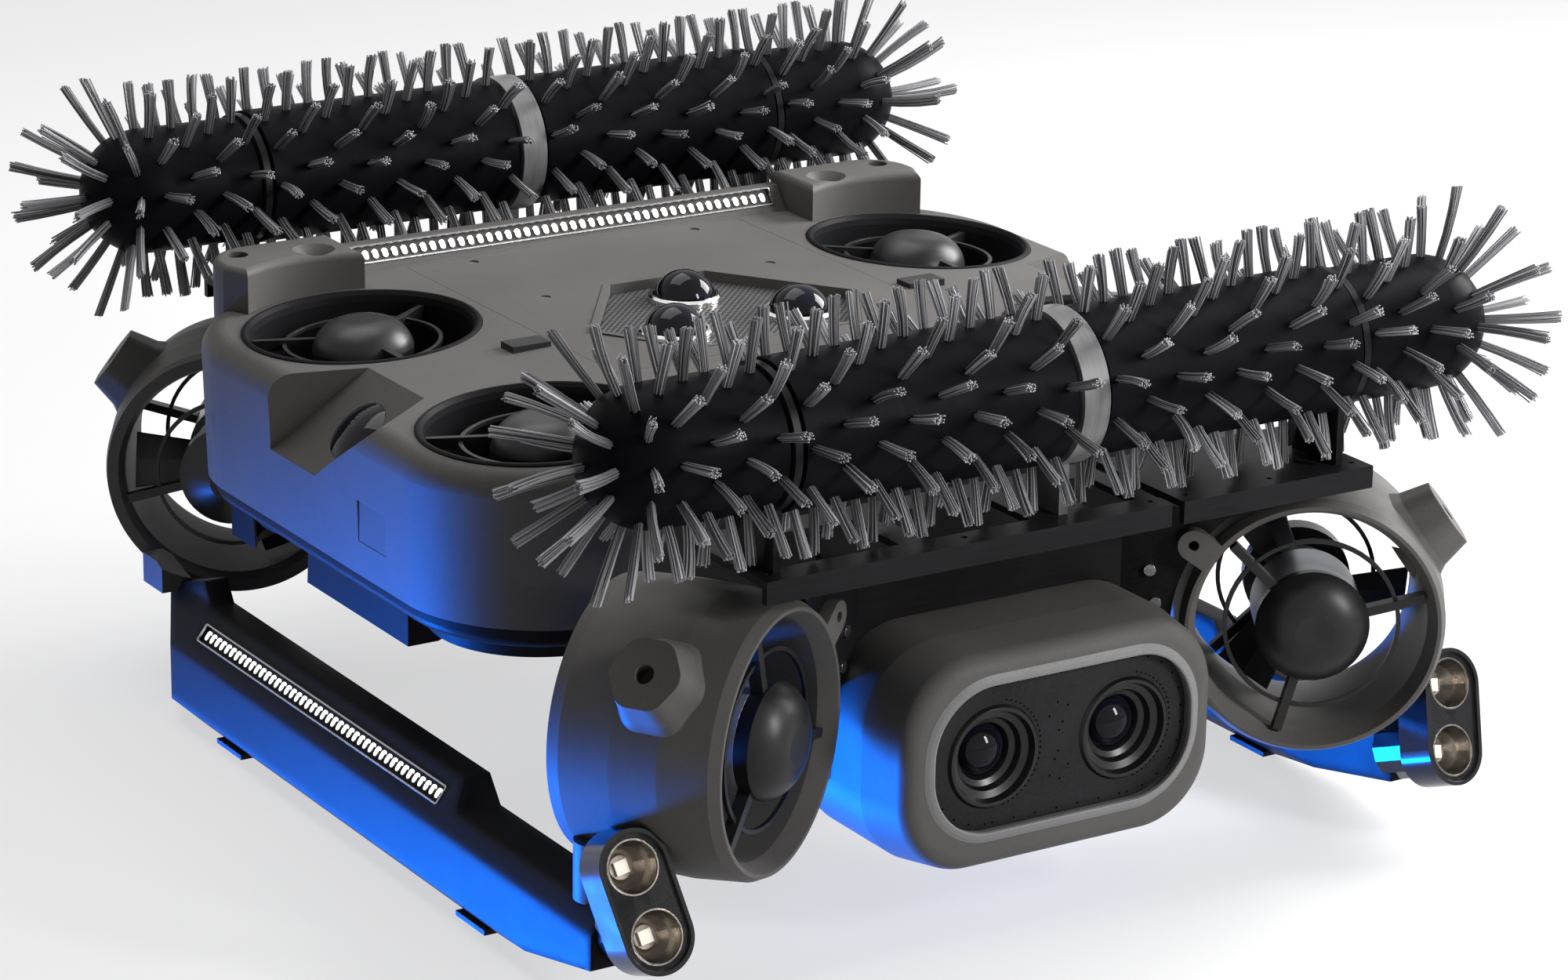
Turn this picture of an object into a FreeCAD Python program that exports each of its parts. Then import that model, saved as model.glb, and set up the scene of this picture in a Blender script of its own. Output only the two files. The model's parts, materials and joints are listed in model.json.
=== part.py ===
import FreeCAD, Part
import Sketcher
import math
import os

# Hull cleaning robot, millimetres. +Z is up and the cameras look along -Y.
# The origin lies under the middle of the robot, on the surface that its skid pads stand on.

doc = FreeCAD.newDocument("hull_cleaning_robot")
sheet = doc.addObject("Spreadsheet::Sheet", "sizes")


class Size:
    """A length, angle or count that remembers the sheet expression it comes from."""

    def __init__(self, value, text):
        self.value = float(value)
        self.text = text

    def __float__(self):
        return self.value

    def __add__(self, other):
        other = size(other)
        return Size(self.value + other.value, "(%s + %s)" % (self.text, other.text))

    def __sub__(self, other):
        other = size(other)
        return Size(self.value - other.value, "(%s - %s)" % (self.text, other.text))

    def __mul__(self, other):
        other = size(other)
        return Size(self.value * other.value, "(%s * %s)" % (self.text, other.text))

    def __truediv__(self, other):
        other = size(other)
        return Size(self.value / other.value, "(%s / %s)" % (self.text, other.text))

    def __neg__(self):
        return Size(-self.value, "(0 - %s)" % self.text)

    def __radd__(self, other):
        return size(other) + self

    def __rsub__(self, other):
        return size(other) - self

    def __rmul__(self, other):
        return size(other) * self

    def __rtruediv__(self, other):
        return size(other) / self


def size(number):
    if isinstance(number, Size):
        return number
    return Size(number, "%.6f" % float(number))


def sine(angle):
    return Size(math.sin(math.radians(angle.value)), "sin(%s)" % angle.text)


def cosine(angle):
    return Size(math.cos(math.radians(angle.value)), "cos(%s)" % angle.text)


def root(number):
    return Size(math.sqrt(number.value), "sqrt(%s)" % number.text)


# Driving dimensions

DIMENSIONS = {
    "fit_gap": 0.3,
    "run_gap": 0.08,
    # body shells
    "deck_height": 345,
    "deck_crown": 4970,
    "shell_half_width": 374,
    "shell_front": -240,
    "shell_back": 303,
    "shelf_back": 312,
    "shelf_half_width": 300,
    "shelf_low": 306,
    "shelf_front": 235,
    "shelf_corner": 20,
    "shell_corner": 118,
    "shell_flare": 4,
    "deck_edge_round": 20,
    "shell_wall": 6,
    "roof_thickness": 38,
    "rim_height": 221,
    "rim_lip": 22,
    "rim_lip_height": 8,
    "lower_inset": 10,
    "lower_height": 204,
    "lower_round": 8,
    "keel_half_width": 334,
    "keel_front": -55,
    "keel_back": 245,
    "keel_low": 160,
    "hatch_half_width": 140,
    "hatch_front": -150,
    "hatch_back": 180,
    "belly_half_width": 150,
    "belly_front": -150,
    "belly_back": 240,
    "belly_corner": 40,
    "belly_depth": 38,
    "belly_round": 24,
    # vertical thrusters in the deck
    "duct_spread": 260.7,
    "duct_front": -130.1,
    "duct_back": 157.1,
    "duct_radius": 87,
    "duct_wall": 7,
    "duct_length": 147,
    "duct_lip": 1.2,
    "duct_tilt": 3,
    "dome_radius": 40,
    "dome_rise": 6,
    "pod_length": 60,
    "strut_width": 5,
    "strut_depth": 9,
    "strut_drop": 8,
    "guard_radius": 61,
    "guard_wire": 1.6,
    "prop_gap": 2,
    "prop_hub": 26,
    "prop_hub_length": 26,
    "prop_tip": 83,
    "shaft_radius": 5,
    "shaft_reach": 22,
    "blade_count": 3,
    "blade_root_chord": 34,
    "blade_tip_chord": 46,
    "blade_root_pitch": 42,
    "blade_tip_pitch": 24,
    "blade_thickness": 4,
    # deck panel and sensor window
    "panel_half_width": 158,
    "panel_front": -62,
    "panel_back": 278,
    "panel_seat": 341,
    "window_top_half": 48,
    "window_top": 150,
    "window_mid_half": 124,
    "window_mid": 40,
    "window_low_half": 76,
    "window_low": -40,
    "window_wall": 5,
    "window_depth": 24,
    "grille_thickness": 3,
    "grille_drop": 8,
    "eye_radius": 25,
    "eye_ring": 4,
    "eye_back": 103,
    "eye_front": 22,
    "eye_spread": 57,
    "pad_spread": 182,
    "pad_y": 36,
    "pad_length": 34,
    "pad_width": 20,
    "pad_rise": 5,
    # side scoops with a round lens
    "scoop_inner": 294,
    "scoop_outer": 400,
    "scoop_top_front": -34,
    "scoop_top_back": 58,
    "scoop_flare_front": 84,
    "scoop_flare_back": 52,
    "scoop_low": 262,
    "scoop_low_inner": 390,
    "scoop_low_front": 33,
    "scoop_low_back": 104,
    "scoop_wall": 13,
    "side_lens_radius": 26,
    "side_lens_y": 15,
    "side_lens_seat": 8,
    "side_lens_rise": 7,
    "latch_depth": 3.5,
    "latch_low": 248,
    "latch_high": 280,
    "latch_front": -70,
    "latch_back": 214,
    "latch_length": 44,
    # rear posts and light bar
    "post_inner": 212,
    "post_outer": 328,
    "post_back": 313,
    "post_top": 377,
    "post_seat": 314,
    "post_corner": 40,
    "post_clear": 101,
    "post_round": 6,
    "post_hole_x": 243,
    "post_hole_y": 274,
    "post_sink": 17,
    "post_bore": 7,
    "post_well_x": 304,
    "post_well_y": 288,
    "post_well": 9,
    "post_well_depth": 18,
    "bar_front": 286,
    "bar_back": 311,
    "bar_top": 367,
    "bar_lip": 352,
    "bar_slope": 11,
    "bar_foot": 4,
    "led_pitch": 8.8,
    "led_count": 45,
    "led_width": 5.4,
    "led_length": 11,
    "led_height": 2,
    "led_margin": 3,
    "channel_width": 14,
    "channel_depth": 3,
    # chassis, bottles and bulkheads
    "chassis_half_width": 148,
    "chassis_low": 176,
    "chassis_thickness": 8,
    "chassis_post": 14,
    "bottle_radius": 58,
    "bottle_length": 300,
    "battery_radius": 28,
    "battery_length": 270,
    "battery_spread": 98,
    "bulkhead_y": 329.5,
    "bulkhead_thickness": 6,
    "bulkhead_half_width": 150,
    "bulkhead_low": 110,
    "bulkhead_top": 311,
    "bulkhead_hole": 2.4,
    "bulkhead_pitch": 33.5,
    "bulkhead_hole_height": 221,
    "wing_thickness": 6,
    "wing_low": 2,
    "wing_high": 92,
    # camera
    "camera_half_width": 143,
    "camera_low": 55,
    "camera_top": 226,
    "camera_corner": 62,
    "camera_front": 431.5,
    "camera_lip_half": 134,
    "camera_lip_low": 62,
    "camera_lip_top": 222,
    "camera_lip_corner": 58,
    "camera_waist": 384,
    "camera_back": 290,
    "camera_tail_round": 20,
    "camera_edge": 14,
    "face_half_width": 113,
    "face_low": 89,
    "face_top": 202,
    "face_corner": 50,
    "face_drop": 6,
    "face_plate": 4,
    "lens_spread": 57.5,
    "lens_height": 144,
    "lens_radius": 39,
    "lens_depth": 30,
    "lens_glass": 19,
    # brushes
    "brush_y": 401,
    "brush_height": 407,
    "core_radius": 54.5,
    "core_start": 14,
    "core_joint": 239,
    "end_start": 250,
    "end_radius": 50.5,
    "end_centre": 333,
    "brush_shaft": 12,
    "shaft_inset": 12,
    "tip_radius": 89,
    "cap_reach": 108,
    "tuft_root": 0.7,
    "tuft_width": 7.5,
    "tuft_thickness": 5.5,
    "tuft_lift": 0.15,
    "tuft_edge": 3,
    "tuft_rows": 8,
    "tuft_columns": 9,
    "tuft_twist": 19,
    "end_columns": 4,
    "ring_half_width": 11,
    "ring_radius": 57,
    "ring_foot_half": 20,
    "ring_post_half": 4,
    "side_plate_x": 244.5,
    "side_plate_thickness": 6,
    "side_plate_disc": 53,
    "side_plate_foot_half": 26,
    # brush frames
    "frame_thickness": 5,
    "frame_front": 441,
    "frame_flange": 12,
    "frame_flange_width": 6,
    "frame_left": -261,
    "frame_right": 82,
    "frame_end_left": 93,
    "frame_end_right": 266,
    "frame_window_depth": 62,
    "frame_window_y": 356,
    "frame_notch": 11,
    "frame_notch_x": 172,
    # corner thrusters
    "ring_spread": 234,
    "ring_y": 420.5,
    "ring_height": 187,
    "ring_yaw": 32,
    "bore_radius": 87,
    "mouth_radius": 92,
    "lip_radius": 99,
    "bulge_radius": 104,
    "bulge_clear": 3,
    "outlet_radius": 100,
    "shroud_length": 132,
    "boss_angle": 36.1,
    "boss_back": 54.5,
    "boss_reach": 128,
    "boss_top": 29,
    "boss_base": 50,
    "boss_height": 46,
    "boss_round": 14,
    "boss_hole": 7,
    "boss_hole_depth": 12,
    "ear_radius": 112,
    "ear_angle": 145,
    "ear_round": 12,
    "ear_thickness": 10,
    "ear_hole": 4,
    "foot_radius": 16,
    "foot_y": 372,
    "foot_height": 44,
    "rear_foot_front": 306,
    "rear_foot_back": 342,
    "rear_foot_half": 13,
    "rear_foot_top": 122,
    "rear_foot_low": 97,
    "nose_radius": 43,
    "nose_rise": 14,
    "nose_depth": 18,
    "nose_strut_width": 7,
    "nose_strut_depth": 10,
    "nose_guard": 65,
    "nose_strut_turn": 15,
    "tail_radius": 41,
    "tail_tip": 14,
    "tail_length": 38,
    "tail_gap": 3,
    "tail_guard": 60,
    "tail_strut_depth": 8,
    "motor_radius": 41,
    "motor_length": 54,
    "drive_front": 76,
    "drive_hub": 30,
    "drive_hub_length": 38,
    "drive_tip": 81,
    "skid_spread": 355,
    "skid_inner": 331,
    "skid_outer": 378,
    "skid_low": 4,
    "skid_flat_front": -237,
    "skid_flat_back": 235,
    "skid_front": -405,
    "skid_front_low": 40,
    "skid_seat": 80,
    "skid_step_front": -192,
    "skid_step_back": -176,
    "skid_top": 100,
    "skid_rise_front": 250,
    "skid_rise_back": 262,
    "skid_rise": 118,
    "skid_back": 326,
    "skid_nip": 272,
    "skid_back_top": 97,
    "skid_back_low": 27,
    "skid_slope_low": 66,
    "skid_slope_in": 351,
    "skid_slope_top": 102,
    "skid_bevel": 16,
    "strip_middle": 38.5,
    "lamp_x": 356,
    "lamp_y": 441.6,
    "lamp_height": 101,
    "lamp_lean": 21.6,
    "lamp_splay": 10.4,
    "lamp_half_width": 27,
    "lamp_pitch": 25.5,
    "lamp_depth": 30,
    "lamp_wall": 3,
    "lamp_clear": 2,
    "clamp_radius": 25,
    "clamp_length": 34,
    "clamp_drop": 20,
    "reflector_radius": 19.5,
    "reflector_depth": 22,
    "reflector_foot": 9,
    "reflector_wall": 1,
    "chip_size": 10,
    "chip_height": 1.5,
    "cover_thickness": 3,
    "skid_pad_length": 44,
    "skid_pad_width": 26,
    "skid_pad_front": -212,
    "skid_pad_back": 188,
    "screw_radius": 4.5,
    "screw_height": 2.5,
    "screw_front": 143,
    "screw_back": 262,
    "screw_spread": 105,
    "wing_screw_out": 118,
    "wing_screw_up": 16,
    "wing_screw_pitch": 26,
}


class Sizes:
    """The driving dimensions, each written once into a cell of the sheet."""

    def __init__(self, table):
        for row, (name, value) in enumerate(table.items(), start=1):
            cell = "A%d" % row
            sheet.set(cell, "%g" % value)
            sheet.setAlias(cell, name)
            setattr(self, name, Size(value, "sizes.%s" % name))


d = Sizes(DIMENSIONS)
doc.recompute()
NODES = {}


# Working methods

def bind(item, prop, value):
    item.setExpression(prop, size(value).text)


def place(item, x=0, y=0, z=0, yaw=0, pitch=0, roll=0):
    """Ties the placement to the sheet: roll about X first, then pitch about Y, then yaw about Z."""
    parts = tuple(size(value).text for value in (x, y, z, yaw, pitch, roll))
    text = "create(<<placement>>; create(<<vector>>; %s; %s; %s); create(<<rotation>>; %s; %s; %s))"
    item.setExpression("Placement", text % parts)


def node(name, item):
    item.Label = name
    NODES[name] = item
    return item


def origin_feature(body, role):
    for feature in body.Origin.OriginFeatures:
        if feature.Role == role:
            return feature
    raise ValueError(role)


def new_body(name):
    body = doc.addObject("PartDesign::Body", name)
    body.AllowCompound = True
    return body


def sketch_on(body, plane, level=0):
    sketch = body.newObject("Sketcher::SketchObject", "sketch")
    sketch.AttachmentSupport = [(origin_feature(body, plane), "")]
    sketch.MapMode = "FlatFace"
    bind(sketch, "AttachmentOffset.Base.z", level)
    return sketch


def pin(sketch, kind, geometry, end, value):
    index = sketch.addConstraint(Sketcher.Constraint(kind, -1, 1, geometry, end, float(value)))
    sketch.setExpression("Constraints[%d]" % index, size(value).text)


def add_circle(sketch, x, y, radius):
    middle = FreeCAD.Vector(float(x), float(y), 0)
    index = sketch.addGeometry(Part.Circle(middle, FreeCAD.Vector(0, 0, 1), float(radius)), False)
    pin(sketch, "DistanceX", index, 3, x)
    pin(sketch, "DistanceY", index, 3, y)
    rule = sketch.addConstraint(Sketcher.Constraint("Radius", index, float(radius)))
    sketch.setExpression("Constraints[%d]" % rule, size(radius).text)


def add_outline(sketch, points):
    """Closes a chain through the points. A point's third value is the radius of the arc to the
    next point: positive turns left, negative turns right."""
    count = len(points)
    edges = []
    for index, point in enumerate(points):
        start = FreeCAD.Vector(float(point[0]), float(point[1]), 0)
        following = points[(index + 1) % count]
        end = FreeCAD.Vector(float(following[0]), float(following[1]), 0)
        if len(point) == 2:
            edge = sketch.addGeometry(Part.LineSegment(start, end), False)
            edges.append((edge, 1, 2))
            continue
        radius = abs(float(point[2]))
        left = float(point[2]) > 0
        chord = end - start
        side = FreeCAD.Vector(-chord.y, chord.x, 0).normalize()
        rise = math.sqrt(max(radius ** 2 - chord.Length ** 2 / 4.0, 0.0))
        middle = (start + end) * 0.5 + side * (rise if left else -rise)
        first, last = (start, end) if left else (end, start)
        angles = [math.atan2(spot.y - middle.y, spot.x - middle.x) for spot in (first, last)]
        if angles[1] < angles[0]:
            angles[1] += 2 * math.pi
        circle = Part.Circle(middle, FreeCAD.Vector(0, 0, 1), radius)
        edge = sketch.addGeometry(Part.ArcOfCircle(circle, angles[0], angles[1]), False)
        edges.append((edge, 1, 2) if left else (edge, 2, 1))
        rule = sketch.addConstraint(Sketcher.Constraint("Radius", edge, radius))
        bound = size(point[2])
        sketch.setExpression("Constraints[%d]" % rule, bound.text if left else (-bound).text)
    for index, (edge, first, last) in enumerate(edges):
        following, entry, unused = edges[(index + 1) % count]
        sketch.addConstraint(Sketcher.Constraint("Coincident", edge, last, following, entry))
        pin(sketch, "DistanceX", edge, first, points[index][0])
        pin(sketch, "DistanceY", edge, first, points[index][1])


def rounded_rectangle(left, right, low, high, corner):
    return [
        (left + corner, low),
        (right - corner, low, corner),
        (right, low + corner),
        (right, high - corner, corner),
        (right - corner, high),
        (left + corner, high, corner),
        (left, high - corner),
        (left, low + corner, corner),
    ]


def pad(body, sketch, length, reverse=False, both=False):
    feature = body.newObject("PartDesign::Pad", "pad")
    feature.Profile = sketch
    feature.Reversed = reverse
    if both:
        feature.SideType = "Symmetric"
    bind(feature, "Length", length)
    return feature


def pocket(body, sketch, length, reverse=False, both=False):
    feature = body.newObject("PartDesign::Pocket", "pocket")
    feature.Profile = sketch
    feature.Reversed = reverse
    if both:
        feature.SideType = "Symmetric"
    bind(feature, "Length", length)
    return feature


def revolve(body, sketch, cut=False):
    kind = "PartDesign::Groove" if cut else "PartDesign::Revolution"
    feature = body.newObject(kind, "turned")
    feature.Profile = sketch
    feature.ReferenceAxis = (sketch, ["V_Axis"])
    feature.Angle = 360
    return feature


def loft(body, sketches, ruled=True):
    feature = body.newObject("PartDesign::AdditiveLoft", "loft")
    feature.Profile = sketches[0]
    feature.Sections = sketches[1:]
    feature.Ruled = ruled
    return feature


def around(body, feature, count):
    pattern = body.newObject("PartDesign::PolarPattern", "around")
    pattern.Originals = [feature]
    pattern.Axis = (origin_feature(body, "Z_Axis"), [""])
    pattern.Angle = 360
    bind(pattern, "Occurrences", count)
    body.Tip = pattern
    return pattern


def along(body, feature, axis, length, count):
    pattern = body.newObject("PartDesign::LinearPattern", "along")
    pattern.Originals = [feature]
    pattern.Direction = (origin_feature(body, axis), [""])
    bind(pattern, "Length", length)
    bind(pattern, "Occurrences", count)
    body.Tip = pattern
    return pattern


def rounding(body, radius, chosen):
    """Rounds the edges of the body's last feature that the test picks."""
    doc.recompute()
    base = body.Tip
    names = ["Edge%d" % number for number, edge in enumerate(base.Shape.Edges, start=1) if chosen(edge)]
    feature = body.newObject("PartDesign::Fillet", "rounding")
    feature.Base = (base, names)
    bind(feature, "Radius", radius)
    return feature


def box(name, x0, x1, y0, y1, z0, z1):
    block = doc.addObject("Part::Box", name)
    bind(block, "Length", size(x1) - x0)
    bind(block, "Width", size(y1) - y0)
    bind(block, "Height", size(z1) - z0)
    place(block, x0, y0, z0)
    return block


def cylinder(name, radius, height, **at):
    rod = doc.addObject("Part::Cylinder", name)
    bind(rod, "Radius", radius)
    bind(rod, "Height", height)
    place(rod, **at)
    return rod


def cone(name, low, high, height, **at):
    taper = doc.addObject("Part::Cone", name)
    bind(taper, "Radius1", low)
    bind(taper, "Radius2", high)
    bind(taper, "Height", height)
    place(taper, **at)
    return taper


def fuse(name, items):
    joined = doc.addObject("Part::MultiFuse", name)
    joined.Shapes = items
    joined.Refine = True
    return joined


def cut(name, base, tools):
    """Takes the tools away one after the other."""
    result = base
    for tool in tools:
        step = doc.addObject("Part::Cut", name)
        step.Base = result
        step.Tool = tool
        result = step
    return result


def common(name, first, second):
    result = doc.addObject("Part::MultiCommon", name)
    result.Shapes = [first, second]
    return result


def group(name, items):
    bundle = doc.addObject("Part::Compound", name)
    bundle.Links = items
    return bundle


def spans(edge, axis, level, slack=0.01):
    """True for an edge that lies wholly at one level of an axis."""
    bounds = edge.BoundBox
    low = getattr(bounds, axis + "Min")
    high = getattr(bounds, axis + "Max")
    return abs(low - float(level)) < slack and abs(high - float(level)) < slack


# Body shells

DUCTS = {
    "front_left": (-1, d.duct_front),
    "front_right": (1, d.duct_front),
    "rear_left": (-1, d.duct_back),
    "rear_right": (1, d.duct_back),
}
duct_outer = d.duct_radius + d.duct_wall
crown_drop = d.duct_spread * d.duct_spread / (d.deck_crown * 2)
crown_top = d.deck_height + crown_drop
crown_middle = crown_top - d.deck_crown


def crown_level(x, lowered=0):
    """Height of the crowned deck, or of a surface that runs below it, at a distance from the middle."""
    bend = d.deck_crown - lowered
    return crown_middle + root(bend * bend - size(x) * x)


def shell_outline(inset):
    return rounded_rectangle(
        inset - d.shell_half_width,
        d.shell_half_width - inset,
        d.shell_front + inset,
        d.shell_back - inset,
        d.shell_corner - inset,
    )


def shelf_outline(inset):
    half = d.shelf_half_width - inset
    return rounded_rectangle(-half, half, d.shelf_front + inset, d.shelf_back - inset, d.shelf_corner)


def shelf_plan():
    """A plain plan that is wider than anything cut from it."""
    reach = d.shell_half_width
    return [(-reach, -reach), (reach, -reach), (reach, reach), (-reach, reach)]


def crowned_block(name, low_outline, high_outline, low, lowered):
    """A block between two plans whose top follows the crown of the deck."""
    body = new_body(name)
    base = sketch_on(body, "XY_Plane", low)
    add_outline(base, low_outline)
    crest = sketch_on(body, "XY_Plane", crown_top + 2)
    add_outline(crest, high_outline)
    loft(body, [base, crest])
    reach = d.shell_half_width + 20
    edge = crown_level(reach, lowered)
    above = sketch_on(body, "XZ_Plane")
    bend = d.deck_crown - lowered
    add_outline(above, [(reach, edge, bend), (-reach, edge), (-reach, edge + 60), (reach, edge + 60)])
    pocket(body, above, d.shell_half_width * 4, both=True)
    return body


def duct_holes():
    """Bores for the four ducts, from well below them to well above the deck."""
    below = d.duct_length * 1.3
    holes = []
    for side, y in DUCTS.values():
        holes.append(cylinder(
            "duct_hole", duct_outer + d.fit_gap, d.duct_length * 2,
            x=(d.duct_spread - sine(d.duct_tilt) * below) * side,
            y=y, z=d.deck_height - cosine(d.duct_tilt) * below, pitch=d.duct_tilt * side))
    return holes


def thruster_room(radius, reach):
    """Clear space round the two rear thrusters, of this radius and this far back from their mouths."""
    rooms = []
    for side in (-1, 1):
        start = corner_point(side, 1, size(0), size(0), -reach - d.bulge_clear)
        rooms.append(cylinder("thruster_room", radius + d.bulge_clear, d.shroud_length * 2,
                              yaw=corner_frame(side, 1)["yaw"], roll=90, **start))
    return rooms


def scoop(name, side, grow):
    """The slanted recess between two ducts, or the same form grown by the wall behind it."""
    body = new_body(name)
    low = sketch_on(body, "XY_Plane", d.scoop_low - grow)
    inner = d.scoop_low_inner - grow
    front = d.scoop_low_front - grow
    back = d.scoop_low_back + grow
    corners = [(inner, front), (d.scoop_outer, front), (d.scoop_outer, back), (inner, back)]
    high = sketch_on(body, "XY_Plane", crown_top + grow)
    inner = d.scoop_inner - grow
    front = d.scoop_top_front - grow
    back = d.scoop_top_back + grow
    top = [(inner, front), (d.scoop_outer, front - d.scoop_flare_front),
           (d.scoop_outer, back + d.scoop_flare_back), (inner, back)]
    for sketch, outline in ((low, corners), (high, top)):
        points = [(x * side, y) for x, y in outline]
        add_outline(sketch, points if side > 0 else points[::-1])
    loft(body, [low, high])
    return body


scoop_run = d.scoop_low_inner - d.scoop_inner
scoop_drop = crown_top - d.scoop_low
scoop_length = root(scoop_run * scoop_run + scoop_drop * scoop_drop)
lens_share = 0.46
lens_x = d.scoop_inner + scoop_run * lens_share
lens_z = crown_top - scoop_drop * lens_share
lens_pitch = Size(math.degrees(math.atan2(float(scoop_drop), float(scoop_run))),
                  "atan(%s / %s)" % (scoop_drop.text, scoop_run.text))
lens_out_x = scoop_drop / scoop_length
lens_out_z = scoop_run / scoop_length


def lens_place(side, back):
    """Placement of a round thing square to the floor of a scoop, starting a depth below it."""
    return {
        "x": (lens_x - lens_out_x * back) * side,
        "y": d.side_lens_y,
        "z": lens_z - lens_out_z * back,
        "pitch": lens_pitch * side,
    }


def post_outline(side, grow):
    """Plan of a rear post: its front follows the rim of the duct beside it."""
    reach = d.post_clear - grow
    inner = d.post_inner - grow
    outer = d.post_outer + grow
    back = d.post_back + grow
    neck = d.post_outer - 10
    inner_y = d.duct_back + root(reach * reach - (inner - d.duct_spread) * (inner - d.duct_spread))
    neck_y = d.duct_back + root(reach * reach - (neck - d.duct_spread) * (neck - d.duct_spread))
    points = [
        (neck, neck_y),
        (outer, neck_y + 24),
        (outer, back - d.post_corner, d.post_corner),
        (outer - d.post_corner, back),
        (inner, back),
        (inner, inner_y, -reach),
    ]
    if side > 0:
        return points
    mirrored = [(-x, y) for x, y, *arc in points]
    ordered = mirrored[::-1]
    turned = []
    for index, (x, y) in enumerate(ordered):
        source = points[(len(points) - 2 - index) % len(points)]
        turned.append((x, y, source[2]) if len(source) == 3 else (x, y))
    return turned


def prism(name, points, low, high):
    body = new_body(name)
    sketch = sketch_on(body, "XY_Plane", low)
    add_outline(sketch, points)
    pad(body, sketch, size(high) - low)
    return body


def window_outline(inset):
    """The six-sided sensor window, drawn in from its edge."""
    return [
        (d.window_low_half - inset, d.window_low + inset),
        (d.window_mid_half - inset * 1.2, d.window_mid),
        (d.window_top_half - inset * 0.8, d.window_top - inset),
        (inset * 0.8 - d.window_top_half, d.window_top - inset),
        (inset * 1.2 - d.window_mid_half, d.window_mid),
        (inset - d.window_low_half, d.window_low + inset),
    ]


def make_upper_shell():
    outer = crowned_block("shell_form", shell_outline(d.shell_flare), shell_outline(size(0)),
                          d.rim_height, size(0))
    rounding(outer, d.deck_edge_round, lambda edge: edge.BoundBox.ZMin > float(d.deck_height) - 9)
    shelf = crowned_block("shelf_form", shelf_outline(size(0)), shelf_outline(size(0)), d.shelf_low, size(0))
    outer = fuse("shell_outer", [outer, shelf])
    cavity = crowned_block("shell_cavity", shell_outline(d.shell_flare + d.shell_wall),
                           shell_outline(d.shell_wall), d.rim_height + d.rim_lip_height, d.roof_thickness)
    kept = [scoop("scoop_wall", side, d.scoop_wall) for side in (-1, 1)]
    cavity = cut("shell_hollow", cavity, kept)
    mouth = prism("shell_mouth", shell_outline(d.rim_lip), d.rim_height - 1,
                  d.rim_height + d.rim_lip_height + 1)
    tools = [cavity, mouth] + duct_holes()
    tools += [scoop("scoop_cut", side, size(0)) for side in (-1, 1)]
    tools.append(box("panel_recess", -d.panel_half_width, d.panel_half_width, d.panel_front, d.panel_back,
                     d.panel_seat, d.panel_seat + 40))
    tools.append(prism("window_pocket", window_outline(-d.fit_gap), crown_top - d.window_depth,
                       d.panel_seat + 1))
    tools += [prism("post_pocket", post_outline(side, d.fit_gap), d.post_seat, d.post_top) for side in (-1, 1)]
    tools.append(box("bar_seat", -d.post_inner, d.post_inner, d.bar_front - d.fit_gap, d.shelf_back + 10,
                     d.panel_seat, d.post_top))
    for side in (-1, 1):
        tools.append(cylinder("lens_well", d.side_lens_radius + d.fit_gap, d.side_lens_seat + 30,
                              **lens_place(side, d.side_lens_seat)))
        middle = d.pad_spread * side
        tools.append(box("pad_seat", middle - d.pad_length / 2, middle + d.pad_length / 2,
                         d.pad_y - d.pad_width / 2, d.pad_y + d.pad_width / 2, d.panel_seat + 3, d.post_top))
        wall = (d.shell_half_width - d.latch_depth) * side
        beyond = (d.shell_half_width + 20) * side
        for y in (d.latch_front, d.latch_back):
            tools.append(box("latch_recess", *((wall, beyond) if side > 0 else (beyond, wall)),
                             y - d.latch_length / 2, y + d.latch_length / 2, d.latch_low, d.latch_high))
    node("upper_shell", cut("upper_shell", outer, tools + thruster_room(d.bulge_radius, d.shroud_length)))


def make_lower_shell():
    """A shallow tray under the rim with a keel box below its rear part."""
    inset = d.lower_inset
    wall = d.shell_wall
    tray = new_body("tray")
    sketch = sketch_on(tray, "XY_Plane", d.lower_height)
    add_outline(sketch, shell_outline(inset))
    pad(tray, sketch, d.rim_height - d.lower_height)
    rounding(tray, d.lower_round, lambda edge: spans(edge, "Z", d.lower_height))
    hollow = sketch_on(tray, "XY_Plane", d.rim_height)
    add_outline(hollow, shell_outline(inset + wall))
    pocket(tray, hollow, d.rim_height - d.lower_height - wall)
    half = d.keel_half_width
    keel = box("keel", -half, half, d.keel_front, d.keel_back, d.keel_low, d.lower_height + 1)
    room = box("keel_room", wall - half, half - wall, d.keel_front + wall, d.keel_back - wall,
               d.keel_low + wall, d.lower_height)
    keel = cut("keel_box", keel, [room])
    slot_half = d.chassis_half_width + d.fit_gap
    slot = box("chassis_slot", -slot_half, slot_half, d.keel_front - 1, d.keel_back + 1,
               d.chassis_low - d.fit_gap, d.chassis_low + d.chassis_thickness + d.fit_gap)
    hatch = box("hatch", -d.hatch_half_width, d.hatch_half_width, d.hatch_front, d.hatch_back,
                d.lower_height - 1, d.rim_height)
    gate = box("bottle_gate", -d.hatch_half_width, d.hatch_half_width, d.keel_front - 1,
               d.keel_front + wall + 1, d.chassis_low, d.lower_height)
    floor = d.keel_low + wall
    posts = []
    for x in (-1, 1):
        for y in (d.keel_front + d.chassis_post * 2, d.keel_back - d.chassis_post * 2):
            posts.append(cylinder("chassis_post", d.chassis_post, d.chassis_low - floor + 2,
                                  x=(d.chassis_half_width - d.chassis_post * 1.5) * x, y=y, z=floor - 2))
    tail = d.drive_front + d.drive_hub_length + d.tail_gap + d.tail_length
    rooms = thruster_room(d.bulge_radius, d.shroud_length) + thruster_room(d.tail_guard, tail)
    tools = duct_holes() + rooms + [slot, hatch, gate]
    shelled = cut("lower_open", fuse("lower_form", [tray, keel]), tools)
    node("lower_shell", fuse("lower_shell", [shelled] + posts))


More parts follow.
